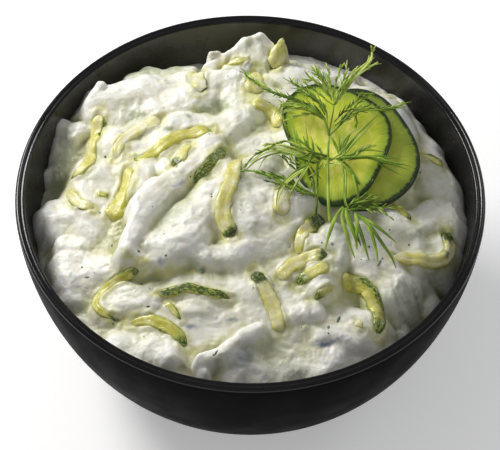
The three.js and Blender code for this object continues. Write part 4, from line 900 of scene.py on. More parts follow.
def make_bowl():
    """The bowl, with its second material on the inside and its third on the lip."""
    bowl = lathe("bowl_glazed", bowl_profile(), BOWL_SEGMENTS)
    faces = bowl.data.polygons
    normals, centres = np.zeros(len(faces) * 3), np.zeros(len(faces) * 3)
    faces.foreach_get("normal", normals)
    faces.foreach_get("center", centres)
    normals, centres = normals.reshape(-1, 3), centres.reshape(-1, 3)
    outward = (normals[:, :2] * unit(centres[:, :2])).sum(1)
    inside = (outward < -0.05) | (normals[:, 2] > 0.15)
    lip = centres[:, 2] > (BOWL_HEIGHT - LIP_DEPTH) * MM
    faces.foreach_set("material_index", np.where(lip, 2, inside).astype(np.int32))
    return bowl


# ---- dip


def edge_radius(azimuth):
    """Distance from the axis at which the dip's surface has entered the wall."""
    radii = np.arange(*EDGE_RADII)
    x, y = np.cos(azimuth)[:, None] * radii, np.sin(azimuth)[:, None] * radii
    depth = BOWL_HEIGHT - finished.height(x, y)
    curve = inner_wall(np.linspace(0.5, 60, 240), WALL_BITE)
    wall = np.interp(depth, BOWL_HEIGHT - curve[:, 1], curve[:, 0])
    inside = radii >= wall
    return radii[np.argmax(inside, axis=1)]


def make_dip():
    """The heap as a disc of rings that ends in the wall, closed below along the bowl's inside."""
    count = 6 * DIP_RINGS
    edge = edge_radius(np.arange(count) / count * 2 * math.pi)
    # the edge is smoothed over nine of its points
    wrapped = np.concatenate([edge[-8:], edge, edge[:8]])
    edge = np.convolve(wrapped, np.ones(9) / 9, "same")[8:-8]
    x, y, faces = [0.0], [0.0], []
    starts = [0]
    for ring in range(1, DIP_RINGS + 1):
        turn = np.arange(6 * ring) / (6 * ring) * 2 * math.pi
        radius = np.interp(turn, np.arange(count + 1) / count * 2 * math.pi, np.append(edge, edge[0]))
        starts.append(len(x))
        x.extend(radius * ring / DIP_RINGS * np.cos(turn))
        y.extend(radius * ring / DIP_RINGS * np.sin(turn))
        own, before = starts[ring], starts[ring - 1]
        inner_count = max(6 * (ring - 1), 1)
        for side in range(6):
            for k in range(ring):
                outer = side * ring + k
                inner = (side * (ring - 1) + k) % inner_count
                a, b = own + outer, own + (outer + 1) % (6 * ring)
                faces.append((a, b, before + inner))
                if k < ring - 1:
                    faces.append((b, before + (inner + 1) % inner_count, before + inner))
    x, y = np.array(x), np.array(y)
    z = dip_surface(x, y)
    top = np.stack([x, y, z], 1)
    vertices, faces = close_in_bowl(top, faces, starts[-1], count)
    dip = new_object("dip_cream", vertices, faces)
    # the hollowness and some of the stains carry painted shade into the dip's colour
    looks = {"hollow": hollowness(x, y, z), **stains(x, y)}
    for name, values in looks.items():
        give(dip, name, np.concatenate([values, np.zeros(len(vertices) - len(top))]))
    return dip


def stains(x, y):
    """Strength of each kind of stain at each point; some of the patches are painted shade."""
    x, y = x + wave(x, y, *STAIN_BEND, 24), y + wave(x, y, *STAIN_BEND, 25)
    strength = {kind: np.zeros_like(x) for kind in STAIN_TINTS}
    for patch in STAINS:
        strength[patch[5]] = np.maximum(strength[patch[5]], patch[6] * oval(x, y, patch))
    for bit in BITS:
        strength["film_and_shade"] = np.maximum(strength["film_and_shade"], 0.9 * bit[5] / 0.5 * oval(x, y, bit))
    seep = np.exp(-np.clip(shred_distance(x, y)[0] + 0.2, 0, 9) / 1.1) * 0.75
    strength["juice"] = np.maximum(strength["juice"], seep)
    return strength


def hollowness(x, y, z):
    """From -1 on the crests to 1 in the creases: how far the surface lies under its surroundings."""
    around = np.zeros_like(z)
    for k in range(8):
        turn = k * math.pi / 4
        around += dip_height(x + HOLLOW_REACH * math.cos(turn), y + HOLLOW_REACH * math.sin(turn)) / 8
    return np.clip((around + 0.4 - z) / 3, -1, 1)


def close_in_bowl(vertices, faces, first, count):
    """Adds rows from the outer ring down inside the wall, and a floor."""
    ring = vertices[first : first + count]
    turn = np.arctan2(ring[:, 1], ring[:, 0])
    rows, last = [], first
    faces = list(faces)
    total = len(vertices)
    for share in (0.25, 0.5, 0.75, 1.0):
        depth = (BOWL_HEIGHT - ring[:, 2]) * (1 - share) + INNER_DEPTH * share
        wall = inner_wall(depth, WALL_BITE)
        row = np.stack([wall[:, 0] * np.cos(turn), wall[:, 0] * np.sin(turn), wall[:, 1]], 1)
        for k in range(count):
            after = (k + 1) % count
            faces.append((last + k, total + k, total + after, last + after))
        rows.append(row)
        last = total
        total += count
    rows.append(np.array([(0, 0, rows[-1][0, 2])]))
    for k in range(count):
        faces.append((last + k, total, last + (k + 1) % count))
    return np.vstack([vertices, *rows]), faces


# ---- shreds


def shred_line(width, plan, count):
    """Middle line of a shred, on the dip between its points and never sunk in it."""
    rise = SHRED_RISE * width * SHRED_THICKNESS
    points = []
    for x, y, *lift in plan:
        height = float(finished.height(x, y))
        points.append((x, y, height + rise + (lift[0] if lift else 0)))
    line = smooth_path(points, count)
    height = np.maximum(line[:, 2], finished.height(line[:, 0], line[:, 1]) + rise)
    for _ in range(6):
        inner = (height[:-2] + 2 * height[1:-1] + height[2:]) / 4
        height[1:-1] = inner
    line[:, 2] = height
    return line


def shred_skin(skins, share, angle, length):
    """How far each point of a shred is skin, from 0 to 1."""
    skin = np.zeros((len(share), len(angle)))
    margin = SKIN_FADE / length
    for first, last, direction, spread in skins:
        turned = (np.degrees(angle) - direction + 180) % 360 - 180
        inside = np.clip((spread - np.abs(turned)) / SKIN_FADE_TURN + 0.5, 0, 1)[None, :]
        begun = np.clip((share - first) / margin + 0.5, 0, 1)
        left = np.clip((last - share) / margin + 0.5, 0, 1)
        lengthwise = begun if last == 1 else left if first == 0 else begun * left
        skin = np.maximum(skin, lengthwise[:, None] * inside)
    return skin


def make_shred(name, width, plan, yellow, skins):
    length = path_length([point[:2] for point in plan])
    count = max(14, int(length / SHRED_STEP))
    seed = int(name[-2:])
    line = shred_line(width, plan, count)
    share = np.linspace(0, 1, count)
    along = share * length
    first_taper, last_taper = TAPERS.get(name, (BLUNT_END, BLUNT_END))
    for taper, from_end in ((first_taper, along), (last_taper, length - along)):
        if taper > BLUNT_END:
            line[:, 2] -= TIP_SINK * width * np.clip(1 - from_end / taper, 0, 1) ** 2
    tangent = unit(np.gradient(line, axis=0))
    side = unit(np.cross(tangent, finished.normals(line[:, 0], line[:, 1])))
    up = unit(np.cross(side, tangent))
    full = np.clip((along + 0.15) / first_taper, 0, 1) ** TAPER_POWER
    full = full * np.clip((length - along + 0.15) / last_taper, 0, 1) ** TAPER_POWER
    full = full * np.interp(share, (0, 1), WIDENING.get(name, (1, 1)))
    height, wavelength = SHRED_SWELL
    full = full * (1 + height * gradient_noise(along / wavelength, along * 0 + seed, 21))
    angle = (np.arange(SHRED_SIDES) + 0.5) / SHRED_SIDES * 2 * math.pi
    boxy = np.abs(np.cos(angle)) ** SHRED_SQUARENESS + np.abs(np.sin(angle)) ** SHRED_SQUARENESS
    boxy = boxy ** (-1 / SHRED_SQUARENESS)
    across = np.cos(angle) * boxy
    upward = np.sin(angle) * boxy
    ripple = 1
    for height, wavelength, waves, step, noise in SHRED_RIPPLES:
        round_it = angle[None, :] * waves + seed * step
        ripple = ripple + height * gradient_noise(along[:, None] / wavelength, round_it, noise)
    reach, wavelength = GROOVE_WANDER
    lean = reach * gradient_noise(along / wavelength, along * 0 + seed * 2.3, 26)[:, None]
    groove = 1 - GROOVE_DEPTH * np.exp(-(((across[None, :] - lean) / GROOVE_WIDTH) ** 2)) * (upward > 0)
    a = full[:, None] * width / 2 * across[None, :] * ripple
    b = full[:, None] * width * SHRED_THICKNESS / 2 * upward[None, :] * ripple * groove
    body = line[:, None] + a[..., None] * side[:, None] + b[..., None] * up[:, None]
    tips = [line[0] - tangent[0] * 0.1 * width, line[-1] + tangent[-1] * 0.1 * width]
    vertices = np.vstack([body.reshape(-1, 3), *tips])
    shred = new_object(name + "_wet", vertices, tube_faces(count, SHRED_SIDES))
    skin = shred_skin(skins, share, angle, length)
    give(shred, "skin", np.concatenate([skin.ravel(), [skin[0].mean(), skin[-1].mean()]]))
    depth = np.repeat(yellow + 0.3 * across[None, :] ** 4, count, 0).ravel()
    give(shred, "yellow", np.concatenate([depth, [yellow, yellow]]))
    near_end = np.clip(1 - np.minimum(along, length - along) / 2.5, 0, 1)
    smear = np.clip(0.45 - 1.2 * upward[None, :] + 0.9 * near_end[:, None], 0, 1)
    give(shred, "smear", np.concatenate([smear.ravel(), [0.5, 0.5]]))
    where = np.stack(np.broadcast_arrays(along[:, None] + seed * 17.0, a, b), -1).reshape(-1, 3)
    give(shred, "grain", np.vstack([where, where[0], where[-1]]))
    return shred


# ---- slices


def outline_radius(angle, radius, oval, lobed):
    two = oval[0] * np.cos(2 * (angle - math.radians(oval[1])))
    return radius + two + lobed[0] * np.cos(3 * (angle - math.radians(lobed[1])))


def make_slice(name, middle, radius, oval, lobed):
    """A tilted disc: a seedy middle that lies a little lower, firm flesh, and a rounded skin edge."""
    angle = np.arange(SLICE_SIDES) / SLICE_SIDES * 2 * math.pi
    outline = outline_radius(angle, radius, oval, lobed)
    flat_edge = outline - SLICE_EDGE_ROUND
    share = np.linspace(0, 1, SLICE_RINGS + 1)[1:] ** 0.8
    seed = SLICE_SEEDS[name]
    half = SLICE_THICKNESS / 2
    layers, places = [], []

    def layer(radii, height, place):
        layers.append(np.stack([radii * np.cos(angle), radii * np.sin(angle), height], 1))
        places.append(np.full(SLICE_SIDES, place))

    for s in share:
        radii = np.minimum(outline * s, flat_edge)
        layer(radii, half + slice_relief(radii * np.cos(angle), radii * np.sin(angle), s, seed), s)
    for k in range(1, 8):
        turn = k / 8 * math.pi
        bulge = SLICE_EDGE_ROUND * math.sin(turn)
        layer(flat_edge + bulge, np.full(SLICE_SIDES, half * math.cos(turn)), 1.05)
    for s in share[::-8]:
        layer(np.minimum(outline * s, flat_edge), np.full(SLICE_SIDES, -half), s)
    top = (0, 0, half + float(slice_relief(np.array(0.0), np.array(0.0), 0, seed)))
    flat = np.vstack([*layers, top, (0, 0, -half)])
    tilt = np.array(Matrix.Rotation(SLICE_TILT, 3, "X"))
    vertices = (flat - (0, 0, half)) @ tilt.T + middle
    piece = new_object(name + "_fresh", vertices, tube_faces(len(layers), SLICE_SIDES))
    give(piece, "disc", flat / radius)
    give(piece, "outward", np.concatenate([*places, [0, 0]]))
    return piece


def slice_relief(x, y, share, seed):
    """Height of the cut face: the seedy middle sinks, and the flesh has faint radial lines."""
    angle = np.arctan2(y, x)
    sunk = -0.22 * np.clip(1 - share / 0.62, 0, 1) ** 0.5
    radial = 0.035 * gradient_noise(angle * 9, share * 2 + np.zeros_like(angle), seed + 30)
    seeds = wave(x, y, 0.12, 1.6, seed + 31) * np.clip(1 - share / 0.7, 0, 1)
    return sunk + radial * min(share * 2, 1) + seeds + wave(x, y, 0.15, 9, seed + 32)


def slice_top(x, y):
    """Height of the upper slice under a point, or -1 beside the slices."""
    best = np.full(np.shape(x), -1.0)
    for (mx, my, mz), radius, oval, lobed in SLICES.values():
        v = (y - my) / math.cos(SLICE_TILT)
        inside = np.hypot(x - mx, v) < outline_radius(np.arctan2(v, x - mx), radius, oval, lobed) + 1.0
        best = np.maximum(best, np.where(inside, mz + (y - my) * math.tan(SLICE_TILT), -1))
    return best


# ---- dill


class Threads:
    """Collects tapered threads and joins them into one mesh."""

    def __init__(self):
        self.vertices, self.faces, self.tone, self.total = [], [], [], 0

    def add(self, line, radii, tone, sides=6, flat=1.0):
        tangent = unit(np.gradient(line, axis=0))
        side = unit(np.cross(tangent, (0.03, 0.02, 1.0)))
        up = unit(np.cross(side, tangent)) * flat
        angle = np.arange(sides) / sides * 2 * math.pi
        ring = np.cos(angle)[None, :, None] * side[:, None] + np.sin(angle)[None, :, None] * up[:, None]
        body = line[:, None] + ring * radii[:, None, None]
        tips = [line[0] - tangent[0] * radii[0] * 0.5, line[-1] + tangent[-1] * radii[-1]]
        self.vertices.append(np.vstack([body.reshape(-1, 3), *tips]))
        self.faces.extend(tuple(v + self.total for v in face) for face in tube_faces(len(line), sides))
        self.tone.append(np.full(len(line) * sides + 2, tone))
        self.total += len(line) * sides + 2


def lifted(line, clears=NEEDLE_CLEARS, ceiling=DILL_CEILING):
    """The line kept above the slices and the dip by two distances, and under a ceiling."""
    x, y = line[:, 0], line[:, 1]
    floor = np.maximum(slice_top(x, y) + clears[0], finished.height(x, y) + clears[1])
    line = line.copy()
    line[:, 2] = np.minimum(np.maximum(line[:, 2], floor), ceiling)
    return line


def needle(threads, root, heading, length, tone):
    """One needle leaf that droops a little towards its tip."""
    t = np.linspace(0, 1, NEEDLE_POINTS)[:, None]
    bend = rng.normal(0, 0.14, 3)
    line = root + heading * length * t + bend * length * t**2 * 0.5
    line[:, 2] -= 0.10 * length * t[:, 0] ** 2
    radii = NEEDLE_RADIUS * (1 - 0.6 * t[:, 0] ** 1.6)
    threads.add(lifted(line), radii, tone, 5)


def leaf_along(threads, line, spacing, length, tone=0.5):
    """Fine needles on both sides of a branch, each place with a fork of two or three, close to its line."""
    reach = np.concatenate([[0], np.cumsum(np.linalg.norm(np.diff(line, axis=0), axis=1))])
    at, turn = reach[-1] * 0.15, 1
    while at < reach[-1]:
        root = np.array([np.interp(at, reach, line[:, k]) for k in range(3)])
        ahead = np.array([np.interp(min(at + 1, reach[-1]), reach, line[:, k]) for k in range(3)])
        forward = unit(ahead - root + 1e-9)
        sideways = unit(np.cross((0, 0, 1.0), forward)) * turn
        scale = length * (1 - 0.35 * at / reach[-1]) * rng.uniform(0.6, 1.25)
        for fork in range(3 if rng.random() < 0.4 else 2):
            angle = math.radians(FORK_TURNS[fork] + rng.normal(0, 5))
            rise = math.radians(rng.uniform(-6, 26))
            heading = (forward * math.cos(angle) + sideways * math.sin(angle)) * math.cos(rise)
            heading = heading + np.array((0, 0, math.sin(rise)))
            start = root + forward * rng.uniform(-0.4, 0.4)
            needle(threads, start, unit(heading), scale * FORK_SIZES[fork], tone + rng.uniform(-0.4, 0.4))
        at += spacing * rng.uniform(0.7, 1.3)
        turn = -turn


def camera_axes():
    """The camera's place in millimetres, and its directions right, up and ahead."""
    down, roll = math.radians(CAMERA_DOWN), math.radians(CAMERA_ROLL)
    ahead = np.array([0, math.cos(down), -math.sin(down)])
    level_up = np.array([0, math.sin(down), math.cos(down)])
    across = np.array([1.0, 0, 0])
    right = across * math.cos(roll) + level_up * math.sin(roll)
    up = level_up * math.cos(roll) - across * math.sin(roll)
    return np.array([0, 0, BOWL_HEIGHT]) - ahead * CAMERA_DISTANCE, right, up, ahead


def strand_point(across_px, down_px, lift):
    """The point behind a pixel that lies a height over the front slice's plane or the dip."""
    eye, right, up, ahead = camera_axes()
    ray = (ahead + right * (across_px - CAMERA_MIDDLE_PX[0]) / CAMERA_FOCAL_PX
           - up * (down_px - CAMERA_MIDDLE_PX[1]) / CAMERA_FOCAL_PX)
    middle = SLICES["slice_front"][0]
    point = np.array(middle, float)
    for _ in range(12):
        plane = middle[2] + (point[1] - middle[1]) * math.tan(SLICE_TILT)
        height = max(plane, float(finished.height(point[0], point[1]))) + lift
        point = point + 0.7 * (eye + ray * (height - eye[2]) / ray[2] - point)
    return point


def make_dill():
    """The sprig: its branches, then the finer strands, each with the needles along it."""
    threads = Threads()
    for (radius, points), (spacing, length) in zip(DILL, NEEDLES):
        line = smooth_path(points, max(10, int(path_length(points) / STEM_STEP)))
        line = lifted(line, STEM_CLEARS, math.inf)
        t = np.linspace(0, 1, len(line))
        radii = STEM_SHARE * (DILL_TIP + (radius - DILL_TIP) * (1 - t**1.5))
        threads.add(line, radii, 0.35 + 0.3 * rng.random(), 8)
        if spacing:
            leaf_along(threads, line, spacing, length)
    for tone, width, flat, length, lines in STRANDS_PX:
        for pixels in lines:
            points = [strand_point(*pixel) for pixel in pixels]
            line = lifted(smooth_path(points, max(8, int(path_length(points) / STRAND_STEP))))
            t = np.linspace(0, 1, len(line))
            own = tone + rng.uniform(-0.25, 0.25)
            # a strand is thickest two fifths along it and fine at its tip
            threads.add(line, width * (0.55 + 0.9 * t - 1.25 * t**2.2), own, 6, flat)
            if length:
                leaf_along(threads, line, STRAND_SPACING, length, tone)
    dill = new_object("dill_sprig", np.vstack(threads.vertices), threads.faces)
    give(dill, "tone", np.concatenate(threads.tone))
    return dill


# ---- herb flecks


def fleck_form():
    """A flat leaf shard: points of a closed lens, pointed at both ends, and its faces."""
    around = np.arange(8) / 8 * 2 * math.pi
    rim = np.stack([np.cos(around), np.sin(around) * (0.75 + 0.25 * np.abs(np.sin(around))), 0 * around], 1)
    points = np.vstack([rim, (0, 0, 1), (0, 0, -1)])
    faces = []
    for k in range(8):
        faces.append((k, (k + 1) % 8, 8))
        faces.append(((k + 1) % 8, k, 9))
    return points, faces


def make_flecks():
    """Chopped herb in the yoghurt: the ones that stand out, and many fine ones spread by a rule."""
    form, form_faces = fleck_form()
    turn = rng.uniform(0, 2 * math.pi, FINE_FLECKS)
    away = FLECK_REACH * np.sqrt(rng.uniform(0.02, 1, FINE_FLECKS))
    spots = [(r * math.cos(a), r * math.sin(a), rng.uniform(0.35, 0.95), rng.uniform(0.35, 0.7),
              rng.uniform(0, 180)) for a, r in zip(turn, away)]
    vertices, faces, tones = [], [], []
    for x, y, length, width, direction in FLECKS + spots:
        normal = unit(finished.normals(x, y, reach=0.8) + rng.normal(0, 0.12, 3))
        along = np.array([math.cos(math.radians(direction)), math.sin(math.radians(direction)), 0])
        along = unit(along - normal * np.dot(along, normal))
        across = np.cross(normal, along)
        middle = np.array([x, y, float(finished.height(x, y)) + 0.02])
        size = np.array([length / 2, width / 2, FLECK_HALF_THICKNESS])
        shape = (form * size) @ np.stack([along, across, normal]) + middle
        faces.extend(tuple(v + len(vertices) * len(form) for v in face) for face in form_faces)
        vertices.append(shape)
        tones.append(np.full(len(form), rng.random()))
    flecks = new_object("herb_flecks", np.vstack(vertices), faces)
    give(flecks, "tone", np.concatenate(tones))
    return flecks


# ---- finishes


def tint(red, green, blue):
    """A display colour, 0 to 255, as the linear colour that shaders take."""
    share = np.array([red, green, blue]) / 255
    linear = np.where(share < 0.04045, share / 12.92, ((share + 0.055) / 1.055) ** 2.4)
    return (*linear.tolist(), 1.0)


class Finish:
    """Builds a node material round its Principled shader. Colours are given as display colours."""

    def __init__(self, name, **sockets):
        self.material = bpy.data.materials.new(name)
        self.material.use_nodes = True
        self.nodes = self.material.node_tree.nodes
        self.links = self.material.node_tree.links
        self.shader = self.nodes["Principled BSDF"]
        for socket, value in sockets.items():
            self.shader.inputs[socket.replace("_", " ")].default_value = value

    def node(self, kind, inputs, **settings):
        new = self.nodes.new("ShaderNode" + kind)
        for key, value in settings.items():
            setattr(new, key, value)
        for key, value in inputs.items():
            if isinstance(value, bpy.types.NodeSocket):
                self.links.new(value, new.inputs[key])
            else:
                new.inputs[key].default_value = value
        return new

    def place(self):
        return self.node("TexCoord", {}).outputs["Object"]

    def attribute(self, name, output="Fac"):
        return self.node("Attribute", {}, attribute_name=name).outputs[output]

    def stretched(self, vector, scale):
        return self.node("Mapping", {"Vector": vector, "Scale": scale}).outputs["Vector"]

    def noise(self, vector, scale, detail=3.0, distortion=0.0):
        inputs = {"Vector": vector, "Scale": scale, "Detail": detail, "Distortion": distortion}
        return self.node("TexNoise", inputs).outputs["Fac"]

    def cells(self, vector, scale):
        return self.node("TexVoronoi", {"Vector": vector, "Scale": scale}).outputs["Distance"]

    def math(self, operation, first, second=0.0, clamp=False):
        return self.node("Math", {0: first, 1: second}, operation=operation, use_clamp=clamp).outputs[0]

    def add(self, first, second, clamp=False):
        return self.math("ADD", first, second, clamp)

    def times(self, first, second):
        return self.math("MULTIPLY", first, second)

    def between(self, value, low, high, first=0.0, last=1.0):
        inputs = {"Value": value, "From Min": low, "From Max": high, "To Min": first, "To Max": last}
        return self.node("MapRange", inputs, interpolation_type="SMOOTHSTEP").outputs["Result"]

    def spread(self, noise, first, last):
        """Noise, which lies mostly between 0.3 and 0.7, spread over a range."""
        return self.between(noise, 0.3, 0.7, first, last)

    def ramp(self, value, *stops):
        ramp = self.node("ValToRGB", {"Fac": value})
        points = ramp.color_ramp.elements
        while len(points) < len(stops):
            points.new(0.5)
        for point, (position, colour) in zip(points, stops):
            point.position, point.color = position, tint(*colour)
        return ramp.outputs["Color"]

    def mix(self, share, first, second):
        first, second = (tint(*side) if isinstance(side, tuple) else side for side in (first, second))
        return self.node("Mix", {0: share, 6: first, 7: second}, data_type="RGBA").outputs[2]

    def bump(self, height, distance, strength=1.0):
        inputs = {"Height": height, "Distance": distance, "Strength": strength}
        return self.node("Bump", inputs).outputs["Normal"]

    def to(self, socket, value):
        self.links.new(value, self.shader.inputs[socket])


def stoneware_finish(name, specular, roughness, dark, light, painted_sheen):
    """Black glaze with a fine grain and soft blotches, and a painted sheen over its back left part, a
    painted reflection of the dip.
    """
    f = Finish(name, Specular_IOR_Level=specular)
    place = f.place()
    cloud = f.add(f.noise(place, 24, 4, 0.4), f.spread(f.noise(place, 90, 3), -0.08, 0.08))
    split = f.node("SeparateXYZ", {"Vector": place})
    left = f.times(split.outputs["X"], -0.5)
    back_left = f.between(f.add(left, f.times(split.outputs["Y"], 0.86)), 0.045, 0.07)
    glaze = f.ramp(cloud, (0.38, dark), (0.66, light))
    # painted reflection of the dip: towards the back left the glaze is mixed with a lighter sheen colour, in
    # blotches
    f.to("Base Color", f.mix(f.times(back_left, f.between(cloud, 0.2, 0.7, 0.5, 1)), glaze, painted_sheen))
    f.to("Roughness", f.spread(f.noise(place, 90, 5), roughness - 0.06, roughness + 0.06))
    f.to("Normal", f.bump(f.noise(place, 1500, 3), 0.00008, 0.5))
    return f.material


def yoghurt_finish():
    """Thick moist yoghurt, lighter on the crests and yellowish green in the creases as painted light and
    shade, with stains of juice and herb; some stains are painted shade.
    """
    f = Finish("thick_yoghurt", Subsurface_Weight=0.6, Subsurface_Scale=0.0018,
               Subsurface_Radius=(1.0, 0.9, 0.6), Specular_IOR_Level=0.42)
    place = f.place()
    # painted light and shade: the deeper a point lies under its surroundings, the darker and more yellowish
    # green it is, and crests are near white
    deep = f.add(f.attribute("hollow"), f.spread(f.noise(place, 90, 3), -0.22, 0.22))
    cream = f.ramp(f.between(deep, -0.6, 1.0), (0.0, (249, 247, 240)), (0.4, (243, 241, 227)),
                   (0.7, (220, 218, 186)), (1.0, (178, 180, 134)))
    juice = f.between(f.noise(place, 55, 3, 0.4), 0.56, 0.74, 0, 0.45)
    cream = f.mix(juice, cream, (196, 200, 166))
    smudge = f.between(f.noise(place, 210, 2, 0.6), 0.66, 0.78, 0, 0.4)
    cream = f.mix(smudge, cream, (146, 158, 160))
    broken = f.between(f.noise(place, 380, 3, 0.5), 0.36, 0.6, 0.45, 1.0)
    # stains; the film and blue patches and the juice under the fold's lip include painted shade
    for kind, colour in STAIN_TINTS.items():
        cream = f.mix(f.times(f.attribute(kind), broken), cream, colour)
    f.to("Base Color", cream)
    f.to("Roughness", f.spread(f.noise(place, 160, 4), 0.3, 0.5))
    fine = f.add(f.noise(place, 420, 4, 0.3), f.times(f.noise(place, 1100, 2), 0.4))
    f.to("Normal", f.bump(fine, 0.0007, 0.5))
    return f.material


def shred_finish():
    """Wet grated cucumber: flesh with fibres along it, mottled skin, and smears of yoghurt."""
    f = Finish("grated_cucumber", Subsurface_Weight=0.7, Subsurface_Scale=0.0018,
               Subsurface_Radius=(1.0, 0.95, 0.45), Specular_IOR_Level=0.55,
               Coat_Weight=0.3, Coat_Roughness=0.12)
    grain = f.attribute("grain", "Vector")
    fibre = f.noise(f.stretched(grain, (0.25, 2.2, 2.2)), 1.0, 3, 0.3)
    cloud = f.noise(grain, 0.35, 3)
    depth = f.add(f.attribute("yellow"), f.spread(cloud, -0.3, 0.3), clamp=True)
    flesh = f.ramp(depth, (0.0, (244, 242, 214)), (0.35, (236, 230, 172)), (0.7, (223, 216, 122)),
                   (1.0, (202, 198, 74)))
    flesh = f.mix(f.between(fibre, 0.45, 0.75, 0, 0.4), flesh, (244, 242, 200))
    mottle = f.noise(f.stretched(grain, (1.1, 2.0, 2.0)), 1.0, 5, 0.5)
    shade = f.add(mottle, f.between(f.attribute("yellow"), 0.3, 1.0, -0.06, 0.1))
    shade = f.math("SUBTRACT", f.add(shade, 0.1), f.times(f.attribute("skin"), 0.19))
    dark_skin = f.ramp(shade, (0.34, (48, 64, 20)), (0.48, (106, 126, 42)), (0.62, (182, 190, 98)))
    edge = f.add(f.attribute("skin"), f.spread(cloud, -0.2, 0.2))
    skin = f.between(f.add(edge, f.spread(mottle, -0.15, 0.15)), 0.2, 0.75)
    flesh = f.mix(skin, flesh, dark_skin)
    uneven = f.spread(f.noise(f.stretched(grain, (0.5, 0.9, 0.9)), 1.0, 4, 0.4), -0.25, 0.25)
    smeared = f.between(f.add(f.attribute("smear"), uneven), 0.35, 0.75, 0, 0.7)
    smeared = f.times(smeared, f.math("SUBTRACT", 1.0, skin))
    f.to("Base Color", f.mix(smeared, flesh, (243, 241, 224)))
    f.to("Roughness", f.spread(f.noise(grain, 0.9, 3), 0.18, 0.36))
    f.to("Normal", f.bump(f.add(fibre, mottle), 0.0003, 0.6))
    return f.material


def slice_finish(name, painted_glow, flesh_dark, flesh_light, heart, seed_tint, band, skin):
    """A cut cucumber face: seedy heart, radial fibres, a darker band, dark ragged skin, and a painted glow.
    """
    f = Finish(name, Subsurface_Weight=0.5, Subsurface_Scale=0.002, Subsurface_Radius=(0.9, 1.0, 0.3),
               Specular_IOR_Level=0.45, Emission_Strength=painted_glow)
    disc = f.attribute("disc", "Vector")
    outward = f.attribute("outward")
    split = f.node("SeparateXYZ", {"Vector": disc})
    angle = f.math("ARCTAN2", split.outputs["Y"], split.outputs["X"])
    polar = f.node("CombineXYZ", {"X": f.times(angle, 9.0), "Y": outward}).outputs["Vector"]
    rays = f.noise(polar, 1.6, 4, 0.3)
    threads = f.noise(f.stretched(polar, (4.0, 1.2, 1.0)), 1.6, 3, 0.2)
    cloud = f.noise(disc, 3.2, 3)
    flesh = f.mix(f.between(cloud, 0.35, 0.65), flesh_dark, flesh_light)
    flesh = f.mix(f.between(rays, 0.45, 0.7, 0, 0.5), flesh, heart)
    flesh = f.mix(f.between(threads, 0.52, 0.7, 0, 0.3), flesh, flesh_dark)
    sectors = f.math("ABSOLUTE", f.math("SINE", f.times(f.add(angle, 0.5), 1.5)))
    reach = f.add(f.between(sectors, 0, 1, 0.3, 0.62), f.spread(cloud, -0.06, 0.06))
    inside = f.between(f.math("SUBTRACT", reach, outward), -0.05, 0.07)
    cells = f.cells(f.stretched(disc, (1.3, 0.75, 0.2)), 7.5)
    seedy = f.mix(f.between(cells, 0.16, 0.34, 0, 0.75), heart, seed_tint)
    seedy = f.mix(f.between(cells, 0.34, 0.6, 0, 0.8), seedy, flesh_dark)
    lobes = f.between(sectors, 0.05, 0.25, 1, 0)
    seedy = f.mix(f.times(lobes, 0.6), seedy, flesh_dark)
    face = f.mix(f.times(inside, 0.9), flesh, seedy)
    lines = f.add(rays, threads)
    ragged = f.add(outward, f.between(lines, 0.7, 1.3, -0.03, 0.03))
    face = f.mix(f.between(ragged, 0.7, 0.92, 0, 0.85), face, band)
    edge = f.add(outward, f.between(lines, 0.7, 1.3, -0.016, 0.016))
    colour = f.mix(f.between(edge, 0.895, 0.95), face, skin)
    f.to("Base Color", colour)
    # painted glow: the face gives off its own colour, standing in for light that comes up through it from
    # the dip below
    f.to("Emission Color", colour)
    f.to("Roughness", f.spread(f.noise(disc, 14, 3), 0.26, 0.42))
    f.to("Normal", f.bump(f.add(lines, f.noise(disc, 22, 3)), 0.0003, 0.6))
    return f.material


def dill_finish():
    """Fresh dill: from dark stems to light young needles."""
    f = Finish("fresh_dill", Subsurface_Weight=0.3, Subsurface_Scale=0.0006, Specular_IOR_Level=0.4)
    tone = f.add(f.attribute("tone"), f.spread(f.noise(f.place(), 130, 2), -0.25, 0.25))
    f.to("Base Color", f.ramp(tone, (0.05, (80, 108, 30)), (0.4, (130, 164, 50)),
                              (0.75, (176, 204, 80)), (1.0, (208, 224, 124))))
    f.to("Roughness", f.spread(f.noise(f.place(), 800, 2), 0.35, 0.55))
    return f.material


def herb_finish():
    f = Finish("chopped_herb", Roughness=0.5, Specular_IOR_Level=0.35)
    tone = f.add(f.attribute("tone"), f.spread(f.noise(f.place(), 900, 2), -0.2, 0.2))
    f.to("Base Color", f.ramp(tone, (0.1, (84, 98, 64)), (0.5, (116, 130, 98)),
                              (0.8, (140, 150, 142)), (1.0, (172, 180, 166))))
    return f.material


def floor_finish():
    f = Finish("pale_floor", Roughness=0.9, Specular_IOR_Level=0.1, Emission_Strength=0.3,
               Emission_Color=(1, 1, 1, 1))
    f.to("Base Color", f.ramp(f.noise(f.place(), 6, 2), (0.3, (244, 244, 244)), (0.7, (248, 248, 248))))
    return f.material


# ---- pieces


def dress(piece, materials, slot, *replaced):
    """Gives a piece its finishes and ties it to the frame."""
    for material in materials:
        piece.data.materials.append(material)
    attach(piece, "root")
    if replaced:
        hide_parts(*replaced)


BITS = buried_bits()
finished = FinishedDip()
outer_glaze = stoneware_finish("black_glaze_outside", 0.015, 0.5, (8, 8, 8), (13, 12, 13), (12, 12, 12))
